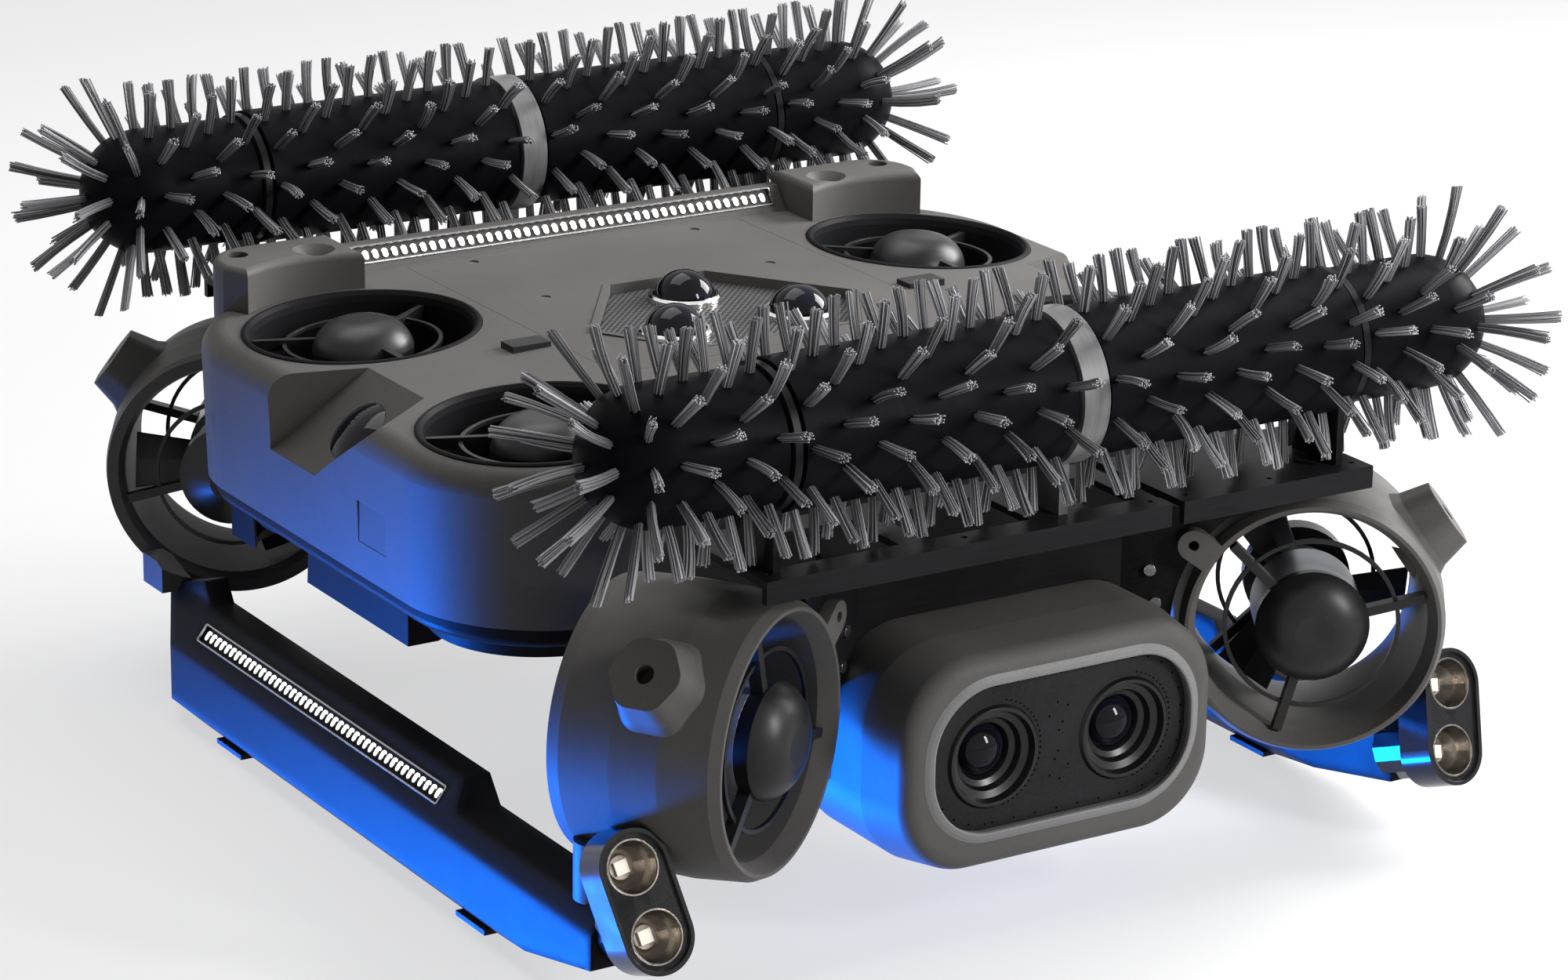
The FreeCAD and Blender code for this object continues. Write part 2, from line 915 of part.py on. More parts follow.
def make_belly_pan():
    body = new_body("belly_pan")
    low = d.keel_low - d.belly_depth
    sketch = sketch_on(body, "XY_Plane", low)
    half = d.belly_half_width
    add_outline(sketch, rounded_rectangle(-half, half, d.belly_front, d.belly_back, d.belly_corner))
    pad(body, sketch, d.belly_depth)
    rounding(body, d.belly_round, lambda edge: spans(edge, "Z", low))
    node("belly_pan", body)


# Deck panel, sensor window and pads

EYES = ((0, d.eye_back), (-1, d.eye_front), (1, d.eye_front))
grille_top = crown_top - d.grille_drop


def make_deck_panel():
    gap = d.fit_gap
    form = crowned_block("panel_form", shelf_plan(), shelf_plan(), d.rim_height, size(0))
    limit = box("panel_limit", gap - d.panel_half_width, d.panel_half_width - gap, d.panel_front + gap,
                d.panel_back - gap, d.panel_seat, d.panel_seat + 40)
    blank = common("panel_blank", form, limit)
    tools = [prism("window_cut", window_outline(-gap), d.panel_seat - 5, d.post_top)]
    for side in (-1, 1):
        for y in (d.screw_front, d.screw_back):
            tools.append(cylinder("screw_well", d.screw_radius + gap, 20, x=d.screw_spread * side, y=y,
                                  z=crown_level(d.screw_spread) - d.screw_height - 1))
    node("deck_panel", cut("deck_panel", blank, tools))


def make_sensor_window():
    low = crown_top - d.window_depth
    tray = new_body("window_tray")
    sketch = sketch_on(tray, "XY_Plane", low)
    add_outline(sketch, window_outline(size(0)))
    pad(tray, sketch, d.window_depth)
    rim = sketch_on(tray, "XY_Plane", crown_top)
    add_outline(rim, window_outline(d.window_wall))
    pocket(tray, rim, d.window_depth - 4)
    wells = []
    eyes = []
    rings = []
    for column, y in EYES:
        x = d.eye_spread * column
        wells.append(cylinder("eye_hole", d.eye_radius + d.eye_ring + d.fit_gap, 30, x=x, y=y, z=low + 4))
        ring = new_body("eye_ring")
        section = sketch_on(ring, "XZ_Plane")
        inner = d.eye_radius + d.fit_gap
        outer = d.eye_radius + d.eye_ring
        top = d.window_depth - d.grille_drop
        add_outline(section, [(inner, size(0)), (outer, size(0)), (outer, top), (outer - 1.5, top + 2),
                              (inner, top + 2)])
        revolve(ring, section)
        place(ring, x, y, low + 4)
        rings.append(ring)
        eye = new_body("eye_glass")
        bulb = sketch_on(eye, "XZ_Plane")
        add_outline(bulb, [(size(0), size(0)), (d.eye_radius, size(0)), (d.eye_radius, top - 4, d.eye_radius),
                           (size(0), top - 4 + d.eye_radius)])
        revolve(eye, bulb)
        place(eye, x, y, low + 4)
        eyes.append(eye)
    plate = prism("grille_form", window_outline(d.window_wall + d.fit_gap), grille_top - d.grille_thickness,
                  grille_top)
    feet = []
    for x, y in ((-1, d.window_mid), (1, d.window_mid)):
        feet.append(cylinder("grille_foot", 5, d.window_depth - d.grille_drop - d.grille_thickness - 4,
                             x=(d.window_mid_half - 22) * x, y=y, z=low + 4))
    node("sensor_bezel", tray)
    node("sensor_grille", fuse("sensor_grille", [cut("grille_plate", plate, wells)] + feet))
    node("sensor_rings", group("sensor_rings", rings))
    node("sensor_domes", group("sensor_domes", eyes))


def make_side_lenses():
    lenses = []
    for side in (-1, 1):
        body = new_body("side_lens")
        section = sketch_on(body, "XZ_Plane")
        bulge = (d.side_lens_radius * d.side_lens_radius + d.side_lens_rise * d.side_lens_rise) / (
            d.side_lens_rise * 2)
        add_outline(section, [(size(0), size(0)), (d.side_lens_radius, size(0)),
                              (d.side_lens_radius, d.side_lens_seat, bulge),
                              (size(0), d.side_lens_seat + d.side_lens_rise)])
        revolve(body, section)
        place(body, **lens_place(side, d.side_lens_seat))
        lenses.append(body)
    node("side_lenses", group("side_lenses", lenses))


def make_rubber_pads():
    pads = []
    gap = d.fit_gap
    for side in (-1, 1):
        middle = d.pad_spread * side
        pads.append(box("deck_pad", middle - d.pad_length / 2 + gap, middle + d.pad_length / 2 - gap,
                        d.pad_y - d.pad_width / 2 + gap, d.pad_y + d.pad_width / 2 - gap,
                        d.panel_seat + 3, d.deck_height + d.pad_rise + 3))
        for y in (d.skid_pad_front, d.skid_pad_back):
            x = d.skid_spread * side
            pads.append(box("skid_pad", x - d.skid_pad_width / 2, x + d.skid_pad_width / 2,
                            y - d.skid_pad_length / 2, y + d.skid_pad_length / 2, 0, d.skid_low))
    node("rubber_pads", group("rubber_pads", pads))


# Rear posts, light bar and LEDs

slope_run = d.bar_slope
slope_rise = d.bar_top - d.bar_lip
slope_length = root(slope_rise * slope_rise + slope_run * slope_run)
strip_length = d.led_pitch * d.led_count + d.led_margin * 2


def make_rear_posts():
    posts = []
    for side in (-1, 1):
        body = prism("post_form", post_outline(side, size(0)), d.post_seat, d.post_top)
        rounding(body, d.post_round, lambda edge: spans(edge, "Z", d.post_top))
        bore = sketch_on(body, "XY_Plane", d.post_top)
        add_circle(bore, d.post_hole_x * side, d.post_hole_y, d.post_bore)
        pocket(body, bore, d.post_top - d.post_seat + 1)
        sink = cone("post_sink", d.post_bore - 1, d.post_sink + 1, d.post_sink - d.post_bore + 2,
                    x=d.post_hole_x * side, y=d.post_hole_y, z=d.post_top - d.post_sink + d.post_bore - 1)
        well = cylinder("post_well", d.post_well, d.post_well_depth + 1, x=d.post_well_x * side,
                        y=d.post_well_y, z=d.post_top - d.post_well_depth)
        posts.append(cut("rear_post", body, [sink, well]))
    node("rear_posts", group("rear_posts", posts))


def slope_point(across, proud):
    """A point of the bar's sloping face: a way up the slope, then out from it."""
    step_y = slope_run / slope_length
    step_z = slope_rise / slope_length
    y = d.bar_front + d.bar_foot + step_y * across - step_z * proud
    z = d.bar_lip + step_z * across + step_y * proud
    return y, z


def make_light_bar():
    half = d.post_inner - d.fit_gap
    body = new_body("bar_form")
    sketch = sketch_on(body, "YZ_Plane")
    add_outline(sketch, [(d.bar_front, d.panel_seat), (d.bar_back, d.panel_seat), (d.bar_back, d.bar_top),
                         (d.bar_front + d.bar_foot + slope_run, d.bar_top),
                         (d.bar_front + d.bar_foot, d.bar_lip), (d.bar_front, d.bar_lip - 5)])
    pad(body, sketch, half * 2, both=True)
    start = (slope_length - d.channel_width) / 2
    channel = sketch_on(body, "YZ_Plane")
    corners = [slope_point(start, -d.channel_depth), slope_point(start + d.channel_width, -d.channel_depth),
               slope_point(start + d.channel_width, size(8)), slope_point(start, size(8))]
    add_outline(channel, corners[::-1])
    pocket(body, channel, strip_length, both=True)
    node("light_bar", body)


def led_row(name, count, sketch_points):
    """A row of LEDs: one LED padded from its section, then repeated."""
    body = new_body(name)
    sketch = sketch_on(body, "YZ_Plane", -d.led_pitch * (d.led_count - 1) / 2)
    add_outline(sketch, sketch_points)
    first = pad(body, sketch, d.led_width, both=True)
    along(body, first, "X_Axis", d.led_pitch * (d.led_count - 1), count)
    return body


def make_leds():
    start = (slope_length - d.led_length) / 2
    deep = -d.channel_depth
    corners = [slope_point(start, deep), slope_point(start + d.led_length, deep),
               slope_point(start + d.led_length, deep + d.led_height), slope_point(start, deep + d.led_height)]
    rows = [led_row("bar_leds", d.led_count, corners[::-1])]
    half = d.led_length / 2
    flat = [(-half, size(0)), (half, size(0)), (half, d.led_height), (-half, d.led_height)]
    for side in (-1, 1):
        row = led_row("skid_leds", d.led_count, flat)
        place(row, **strip_place(side, -d.channel_depth))
        rows.append(row)
        chips = []
        for step in (-1, 1):
            level = d.reflector_wall - d.reflector_depth
            half_chip = d.chip_size / 2
            middle = d.lamp_pitch * step
            chips.append(box("lamp_chip", -half_chip, half_chip, middle - half_chip, middle + half_chip,
                             level, level + d.chip_height))
        pair = group("lamp_chips", chips)
        place(pair, **lamp_place(side))
        rows.append(pair)
    node("led_lights", group("led_lights", rows))


# Chassis, bulkheads and bottles

bulkhead_front = d.bulkhead_y + d.bulkhead_thickness


def make_chassis():
    half = d.chassis_half_width
    top = d.chassis_low + d.chassis_thickness
    node("chassis_plate", box("chassis_plate", -half, half, -d.bulkhead_y, d.bulkhead_y, d.chassis_low, top))
    bottles = [cylinder("main_bottle", d.bottle_radius, d.bottle_length, x=0,
                        y=(d.duct_front + d.duct_back) / 2 + d.bottle_length / 2,
                        z=top + d.bottle_radius + 0.2, roll=90)]
    for side in (-1, 1):
        bottles.append(cylinder("battery_bottle", d.battery_radius, d.battery_length,
                                x=d.battery_spread * side,
                                y=(d.duct_front + d.duct_back) / 2 + d.battery_length / 2,
                                z=top + d.battery_radius + 0.2, roll=90))
    node("pressure_bottles", group("pressure_bottles", bottles))


# Corner thrusters: each piece is drawn about its own axis, which is Z of its frame, mouth at zero.

CORNERS = {
    "front_left": (-1, -1),
    "front_right": (1, -1),
    "rear_left": (-1, 1),
    "rear_right": (1, 1),
}


def corner_frame(side, end):
    """Place and heading of a thruster: its mouth faces away from the body and towards the middle."""
    if end < 0:
        yaw = -d.ring_yaw * side
    else:
        yaw = 180 + d.ring_yaw * side
    return {"x": d.ring_spread * side, "y": d.ring_y * end, "z": d.ring_height, "yaw": yaw, "roll": 90}


def corner_hand(side, end):
    """1 where outboard is +X of the thruster's frame, -1 where it is -X."""
    return side * -end


def corner_point(side, end, x, y, depth):
    """World position of a point given across, above and behind the mouth of a thruster."""
    yaw = corner_frame(side, end)["yaw"]
    return {
        "x": d.ring_spread * side + x * cosine(yaw) + depth * sine(yaw),
        "y": d.ring_y * end + x * sine(yaw) - depth * cosine(yaw),
        "z": d.ring_height + y,
    }


def duct_frame(side, y):
    return {"x": d.duct_spread * side, "y": y, "z": d.deck_height, "pitch": d.duct_tilt * side}


def make_bulkhead(name, end):
    outer = d.bulkhead_y + d.bulkhead_thickness
    low_y = -outer if end < 0 else d.bulkhead_y
    body = new_body(name + "_plate")
    sketch = sketch_on(body, "XZ_Plane", -low_y)
    half = d.bulkhead_half_width
    add_outline(sketch, [(-half, d.bulkhead_low), (half, d.bulkhead_low), (half, d.bulkhead_top),
                         (-half, d.bulkhead_top)])
    pad(body, sketch, d.bulkhead_thickness, reverse=True)
    holes = sketch_on(body, "XZ_Plane", -low_y)
    add_circle(holes, d.bulkhead_pitch * -3, d.bulkhead_hole_height, d.bulkhead_hole)
    first = pocket(body, holes, d.bulkhead_thickness)
    along(body, first, "X_Axis", d.bulkhead_pitch * 6, 7)
    pieces = [body]
    clear = [box(name + "_behind", -d.shell_half_width, d.shell_half_width, -outer, outer, 0,
                 d.deck_height)]
    if end < 0:
        gap = d.fit_gap
        clear.append(camera_prism("camera_clearance", d.camera_half_width + gap, d.camera_low - gap,
                                  d.camera_top + gap, d.camera_corner + gap, d.camera_front,
                                  d.camera_front - outer))
    reach = d.bulge_radius + 2
    low = root(reach * reach - d.wing_low * d.wing_low)
    high = root(reach * reach - d.wing_high * d.wing_high)
    far = d.bulkhead_half_width + 12
    for side in (-1, 1):
        hand = corner_hand(side, end)
        blank = new_body("wing_form")
        outline = sketch_on(blank, "XY_Plane", -d.ear_thickness)
        points = [(-low * hand, d.wing_low, -reach * hand), (-high * hand, d.wing_high),
                  (-far * hand, d.wing_high), (-far * hand, d.wing_low)]
        add_outline(outline, points)
        pad(blank, outline, d.wing_thickness, reverse=True)
        place(blank, **corner_frame(side, end))
        pieces.append(cut("wing", blank, clear))
    node(name, fuse(name, pieces))


# Corner thrusters: each piece is drawn about its own axis, with its mouth at zero

def soft_hexagon(radius, corner):
    """A hexagon with two corners on the X axis, each rounded by the corner radius."""
    points = []
    back = corner * math.tan(math.radians(30))
    for turn in range(0, 360, 60):
        x = radius * math.cos(math.radians(turn))
        y = radius * math.sin(math.radians(turn))
        before = math.radians(turn - 120)
        after = math.radians(turn + 120)
        points.append((x + back * math.cos(before), y + back * math.sin(before), corner))
        points.append((x + back * math.cos(after), y + back * math.sin(after)))
    return points


def make_shroud(corner, side, end, skid):
    hand = corner_hand(side, end)
    frame = corner_frame(side, end)
    length = d.shroud_length
    body = new_body("shroud_form")
    section = sketch_on(body, "XZ_Plane")
    add_outline(section, [
        (d.bore_radius, size(-14)),
        (d.bore_radius, 12 - length),
        (d.bore_radius + 4, -length),
        (d.outlet_radius, -length),
        (d.outlet_radius + 2, 10 - length),
        (d.bulge_radius, -length * 0.62),
        (d.bulge_radius, -length * 0.34),
        (d.lip_radius + 1, size(-8)),
        (d.lip_radius - 3, size(0)),
        (d.mouth_radius + 1, size(0)),
    ][::-1])
    revolve(body, section)
    swing = d.boss_angle if hand > 0 else 180 - d.boss_angle
    foot_of_boss = d.boss_reach - d.boss_height
    boss = new_body("boss")
    outlines = []
    waist = d.boss_top + (d.boss_base - d.boss_top) * 0.28
    for level, reach in ((size(0), d.boss_base), (d.boss_height * 0.5, waist), (d.boss_height, d.boss_top)):
        outline = sketch_on(boss, "XY_Plane", level)
        add_outline(outline, soft_hexagon(reach, d.boss_round * reach / d.boss_top))
        outlines.append(outline)
    loft(boss, outlines)
    place(boss, foot_of_boss * cosine(swing), foot_of_boss * sine(swing), -d.boss_back, yaw=swing, pitch=90)
    sink = d.boss_reach - d.boss_hole_depth
    hole = cylinder("boss_hole", d.boss_hole, d.boss_hole_depth + 1, x=sink * cosine(swing),
                    y=sink * sine(swing), z=-d.boss_back, yaw=swing, pitch=90)
    ear_swing = d.ear_angle if hand > 0 else 180 - d.ear_angle
    ear = cylinder("ear", d.ear_round, d.ear_thickness, x=d.ear_radius * cosine(ear_swing),
                   y=d.ear_radius * sine(ear_swing), z=-d.ear_thickness)
    inner = d.lip_radius - 6
    web = doc.addObject("Part::Box", "ear_web")
    bind(web, "Length", d.ear_radius - inner)
    bind(web, "Width", d.ear_round * 2)
    bind(web, "Height", d.ear_thickness)
    place(web, inner * cosine(ear_swing) + d.ear_round * sine(ear_swing),
          inner * sine(ear_swing) - d.ear_round * cosine(ear_swing), -d.ear_thickness, yaw=ear_swing)
    ear_hole = cylinder("ear_hole", d.ear_hole, d.ear_thickness + 2, x=d.ear_radius * cosine(ear_swing),
                        y=d.ear_radius * sine(ear_swing), z=-d.ear_thickness - 1)
    ring = fuse("shroud_ring", [body, boss, ear, web])
    drilled = cut("shroud_drilled", ring, [hole, ear_hole])
    place(drilled, **frame)
    middle = d.skid_spread * side
    if end < 0:
        foot = cylinder("foot", d.foot_radius, d.foot_height, x=middle, y=-d.foot_y, z=d.skid_seat - 1)
    else:
        foot = box("foot", middle - d.rear_foot_half, middle + d.rear_foot_half, d.rear_foot_front,
                   d.rear_foot_back, d.rear_foot_low, d.rear_foot_top)
    solid = fuse("shroud_solid", [drilled, foot])
    start = corner_point(side, end, size(0), size(0), -length - 60)
    bore = cylinder("bore", d.bore_radius, length + 46, yaw=frame["yaw"], roll=90, **start)
    node("shroud_" + corner, cut("shroud_" + corner, solid, [bore, skid]))


def ring_with_struts(name, profile, pod_radius, bore_radius, strut_width, strut_depth, guard, turn):
    """A pod on the axis with three struts and a thin guard ring, drawn about Z."""
    level = -d.strut_drop
    body = new_body(name + "_pod")
    section = sketch_on(body, "XZ_Plane")
    add_outline(section, profile)
    revolve(body, section)
    wire = new_body(name + "_wire")
    ring = sketch_on(wire, "XZ_Plane")
    thin = d.guard_wire
    middle = level - strut_depth / 2
    add_outline(ring, [(guard - thin, middle - thin), (guard + thin, middle - thin),
                       (guard + thin, middle + thin), (guard - thin, middle + thin)])
    revolve(wire, ring)
    strut = new_body(name + "_strut")
    half = strut_width / 2
    base = sketch_on(strut, "XY_Plane", level - strut_depth)
    reach = bore_radius - d.fit_gap
    add_outline(base, [(pod_radius - 4, -half), (reach, -half), (reach, half), (pod_radius - 4, half)])
    first = pad(strut, base, strut_depth)
    around(strut, first, 3)
    place(strut, yaw=turn)
    return fuse(name, [body, wire, strut])


def make_lift_duct(corner, side, y):
    body = new_body("lift_duct_" + corner)
    section = sketch_on(body, "XZ_Plane")
    inner = d.duct_radius
    outer = d.duct_radius + d.duct_wall
    add_outline(section, [(inner, -d.duct_length), (outer, -d.duct_length), (outer, size(0)),
                          (outer - 1.5, d.duct_lip), (inner + 3.5, d.duct_lip), (inner + 1, size(-2)),
                          (inner, size(-7))])
    revolve(body, section)
    place(body, **duct_frame(side, y))
    node("lift_duct_" + corner, body)


def make_lift_guard(side, y):
    dome = d.dome_radius
    profile = [(size(0), -d.pod_length), (dome - 12, -d.pod_length), (dome - 2, 14 - d.pod_length),
               (dome, size(-16), size(27)), (size(13), d.dome_rise), (size(0), d.dome_rise)]
    solid = ring_with_struts("lift_guard", profile, dome, d.duct_radius, d.strut_width, d.strut_depth,
                             d.guard_radius, size(30))
    bore = cylinder("lift_bore", d.shaft_radius + d.run_gap, d.shaft_reach + 4, z=-d.pod_length - 1)
    guard = cut("lift_guard_bored", solid, [bore])
    place(guard, **duct_frame(side, y))
    return guard


def make_prop(name, frame, hub, front, length, tip):
    """A hub, a shaft in front of it and blades, drawn about Z with its place on that axis."""
    body = new_body(name)
    section = sketch_on(body, "XZ_Plane")
    back = front + length
    add_outline(section, [(size(0), -back), (hub * 0.5, -back), (hub, 8 - back), (hub, -front),
                          (d.shaft_radius, -front), (d.shaft_radius, d.shaft_reach - front),
                          (size(0), d.shaft_reach - front)])
    revolve(body, section)
    middle = -(front + length / 2)
    sections = []
    for radius, chord, pitch in ((hub - 3, d.blade_root_chord, d.blade_root_pitch),
                                 (tip, d.blade_tip_chord, d.blade_tip_pitch)):
        sketch = sketch_on(body, "YZ_Plane", radius)
        long = chord / 2
        thin = d.blade_thickness / 2
        add_outline(sketch, [
            (long * cosine(pitch), middle + long * sine(pitch)),
            (-thin * sine(pitch), middle + thin * cosine(pitch)),
            (-long * cosine(pitch), middle - long * sine(pitch)),
            (thin * sine(pitch), middle - thin * cosine(pitch)),
        ])
        sections.append(sketch)
    blade = loft(body, sections)
    around(body, blade, d.blade_count)
    place(body, **frame)
    node(name, body)


def make_nose(side, end):
    nose = d.nose_radius
    profile = [(size(0), -d.nose_depth), (nose - 2, -d.nose_depth), (nose, size(-6), size(34)),
               (size(15), d.nose_rise), (size(0), d.nose_rise)]
    guard = ring_with_struts("thruster_guard", profile, nose, d.bore_radius, d.nose_strut_width,
                             d.nose_strut_depth, d.nose_guard, d.nose_strut_turn * corner_hand(side, end))
    place(guard, **corner_frame(side, end))
    return guard


def make_tail(side, end):
    """The cone and guard ring in a thruster's outlet, behind its propeller."""
    wide = d.tail_radius
    gap = d.tail_gap
    long = d.tail_length + gap
    profile = [(size(0), -long), (d.tail_tip, -long), (wide, -long / 2), (wide, -gap), (size(0), -gap)]
    guard = ring_with_struts("thruster_tail", profile, wide, d.bore_radius, d.nose_strut_width,
                             d.tail_strut_depth, d.tail_guard, -d.nose_strut_turn * corner_hand(side, end))
    depth = -d.drive_front - d.drive_hub_length
    middle = corner_point(side, end, size(0), size(0), depth)
    place(guard, yaw=corner_frame(side, end)["yaw"], roll=90, **middle)
    return guard


def make_motor(side, end):
    back = d.nose_depth + d.motor_length
    body = new_body("motor")
    section = sketch_on(body, "XZ_Plane")
    bore = d.shaft_radius + d.run_gap
    inner = d.shaft_reach + 3
    add_outline(section, [(bore, -back), (d.motor_radius - 5, -back), (d.motor_radius, 6 - back),
                          (d.motor_radius, -d.nose_depth), (size(0), -d.nose_depth),
                          (size(0), inner - back), (bore, inner - back)])
    revolve(body, section)
    place(body, **corner_frame(side, end))
    return body


# Camera housing with its face plate and two lenses

def camera_prism(name, half, low, high, corner, front, length):
    body = new_body(name)
    sketch = sketch_on(body, "XZ_Plane", front)
    add_outline(sketch, rounded_rectangle(-half, half, low, high, corner))
    pad(body, sketch, length, reverse=True)
    return body


def make_camera():
    front = d.camera_front
    wall = d.bulkhead_y + d.bulkhead_thickness
    housing = new_body("camera_form")
    lip = sketch_on(housing, "XZ_Plane", front)
    add_outline(lip, rounded_rectangle(-d.camera_lip_half, d.camera_lip_half, d.camera_lip_low,
                                       d.camera_lip_top, d.camera_lip_corner))
    outline = rounded_rectangle(-d.camera_half_width, d.camera_half_width, d.camera_low, d.camera_top,
                                d.camera_corner)
    waist = sketch_on(housing, "XZ_Plane", d.camera_waist)
    add_outline(waist, outline)
    loft(housing, [lip, waist])
    rump = sketch_on(housing, "XZ_Plane", d.camera_waist)
    add_outline(rump, outline)
    pad(housing, rump, d.camera_waist - d.camera_back, reverse=True)
    rounding(housing, d.camera_edge, lambda edge: spans(edge, "Y", -front))
    rounding(housing, d.camera_tail_round, lambda edge: spans(edge, "Y", -d.camera_back))
    deep = d.face_drop + d.face_plate
    recess = sketch_on(housing, "XZ_Plane", front)
    gap = d.fit_gap
    add_outline(recess, rounded_rectangle(-d.face_half_width - gap, d.face_half_width + gap,
                                          d.face_low - gap, d.face_top + gap, d.face_corner + gap))
    pocket(housing, recess, deep)
    plate = camera_prism("face_form", d.face_half_width, d.face_low, d.face_top, d.face_corner,
                         front - d.face_drop, d.face_plate)
    wells = []
    barrels = []
    glasses = []
    for side in (-1, 1):
        at = {"x": d.lens_spread * side, "y": d.face_drop - front, "z": d.lens_height, "roll": 90}
        wells.append(cylinder("lens_well", d.lens_radius + gap, d.lens_depth + 5,
                              x=at["x"], y=d.face_drop - front + d.lens_depth, z=at["z"], roll=90))
        barrel = new_body("barrel")
        section = sketch_on(barrel, "XZ_Plane")
        wide = d.lens_radius
        add_outline(section, [
            (size(0), -d.lens_depth), (wide, -d.lens_depth), (wide, size(0)), (wide - 1.5, size(2.5)),
            (wide - 4, size(2.5)), (wide - 6, size(-3)), (wide - 11, size(-5)), (wide - 13, size(-10)),
            (wide - 17, size(-12)), (d.lens_glass + 0.3, size(-17)), (size(0), size(-17)),
        ])
        revolve(barrel, section)
        place(barrel, **at)
        barrels.append(barrel)
        glass = new_body("lens_glass")
        bulb = sketch_on(glass, "XZ_Plane")
        rise = size(10)
        bulge = (d.lens_glass * d.lens_glass + rise * rise) / (rise * 2)
        add_outline(bulb, [(size(0), size(-17)), (d.lens_glass, size(-17)), (d.lens_glass, size(-15), bulge),
                           (size(0), size(-5))])
        revolve(glass, bulb)
        place(glass, **at)
        glasses.append(glass)
    gap = d.fit_gap
    above = box("bulkhead_room", -d.camera_half_width - 1, d.camera_half_width + 1, -wall - gap,
                -d.camera_back + 1, d.bulkhead_low - gap, d.camera_top + 1)
    node("camera_housing", cut("camera_housing", housing, wells + [above]))
    node("camera_faceplate", cut("camera_faceplate", plate, wells))
    node("lens_barrels", group("lens_barrels", barrels))
    node("lens_domes", group("lens_domes", glasses))


# Brush frames

def frame_section(name, end, left, right, windows):
    back = d.bulkhead_y
    front = d.frame_front
    low = d.bulkhead_top
    top = d.bulkhead_top + d.frame_thickness

    def slab(label, x0, x1, y0, y1, z0, z1):
        near, far = (-y1, -y0) if end < 0 else (size(y0), size(y1))
        return box(label, x0, x1, near, far, z0, z1)

    plate = slab("frame_plate", left, right, back, front, low, top)
    flange = slab("frame_flange", left, right, front - d.frame_flange_width, front, low - d.frame_flange, low)
    tools = []
    for x0, x1 in windows:
        tools.append(slab("frame_window", x0, x1, d.frame_window_y, d.frame_window_y + d.frame_window_depth,
                          low - 1, top + 1))
    for x in (left + 10, (left + right) / 2, right - 10):
        tools.append(cylinder("frame_hole", d.bulkhead_hole, d.frame_thickness + 2, x=x,
                              y=(front - 14) * end, z=low - 1))
    if not windows:
        tools.append(cylinder("frame_notch", d.frame_notch, d.frame_thickness + 2, x=d.frame_notch_x,
                              y=back * end, z=low - 1))
    return cut(name, fuse("frame_solid", [plate, flange]), tools)


def make_frames():
    windows = [(-236, -138), (-116, -26), (26, 66)]
    spans_of = ((d.frame_left, d.frame_right, windows), (d.frame_end_left, d.frame_end_right, []))
    main, side = [frame_section("front_frame", -1, *span) for span in spans_of]
    node("front_frame_main", main)
    node("front_frame_end", side)
    node("rear_frame", group("rear_frame", [frame_section("rear_frame_piece", 1, *span) for span in spans_of]))


# Brushes: each runs along X on its own shaft

def across(name, radius, start, length, end, inner=None):
    """A round bar or tube along X, centred on a brush."""
    bar = cylinder(name, radius, length, x=start, y=d.brush_y * end, z=d.brush_height, pitch=90)
    if inner is None:
        return bar
    hole = cylinder(name + "_bore", inner, length + 2, x=start - 1, y=d.brush_y * end, z=d.brush_height,
                    pitch=90)
    return cut(name, bar, [hole])


def make_brush_seats():
    seat = d.bulkhead_top + d.frame_thickness
    bore = d.brush_shaft + d.run_gap
    plates = []
    rings = []
    for end in (-1, 1):
        middle = d.brush_y * end
        for side in (-1, 1):
            x = d.side_plate_x * side - d.side_plate_thickness / 2
            disc = across("bearing_disc", d.side_plate_disc, x, d.side_plate_thickness, end)
            leg = box("leg", x, x + d.side_plate_thickness, middle - d.side_plate_foot_half,
                      middle + d.side_plate_foot_half, seat, d.brush_height)
            hole = across("bearing_bore", bore, x - 1, d.side_plate_thickness + 2, end)
            plates.append(cut("side_plate", fuse("side_plate_form", [disc, leg]), [hole]))
        half = d.ring_half_width
        thin = d.ring_post_half
        ring = across("drive_ring", d.ring_radius, -half, half * 2, end)
        post = box("drive_post", -thin, thin, middle - d.ring_foot_half, middle + d.ring_foot_half, seat,
                   d.brush_height)
        hole = across("drive_bore", bore, -half - 1, half * 2 + 2, end)
        rings.append(cut("drive_seat", fuse("drive_form", [ring, post]), [hole]))
    node("side_plates", group("side_plates", plates))
    node("drive_rings", group("drive_rings", rings))


def make_brush(word, end):
    long = d.end_centre - d.shaft_inset
    node(word + "_brush_shaft", across("shaft", d.brush_shaft, -long, long * 2, end))
    mids = []
    ends = []
    for side in (-1, 1):
        length = d.core_joint - d.core_start
        start = d.core_start if side > 0 else -d.core_joint
        mids.append(across("core_mid", d.core_radius, start, length, end, inner=d.brush_shaft))
        body = new_body("core_end")
        section = sketch_on(body, "XZ_Plane")
        run = d.end_centre - d.end_start
        wide = d.end_radius
        bore = d.brush_shaft
        add_outline(section, [(bore, size(0)), (wide, size(0)), (wide, run, wide), (size(0), run + wide),
                              (size(0), run - d.shaft_inset), (bore, run - d.shaft_inset)])
        revolve(body, section)
        place(body, d.end_start * side, d.brush_y * end, d.brush_height, pitch=90 * side)
        ends.append(body)
    node(word + "_brush_core_mid", group(word + "_brush_core_mid", mids))
    node(word + "_brush_core_end", group(word + "_brush_core_end", ends))
    tufts = doc.addObject("Part::Feature", word + "_brush_tufts")
    tufts.Shape = tuft_cloud(end)
    node(word + "_brush_tufts", tufts)


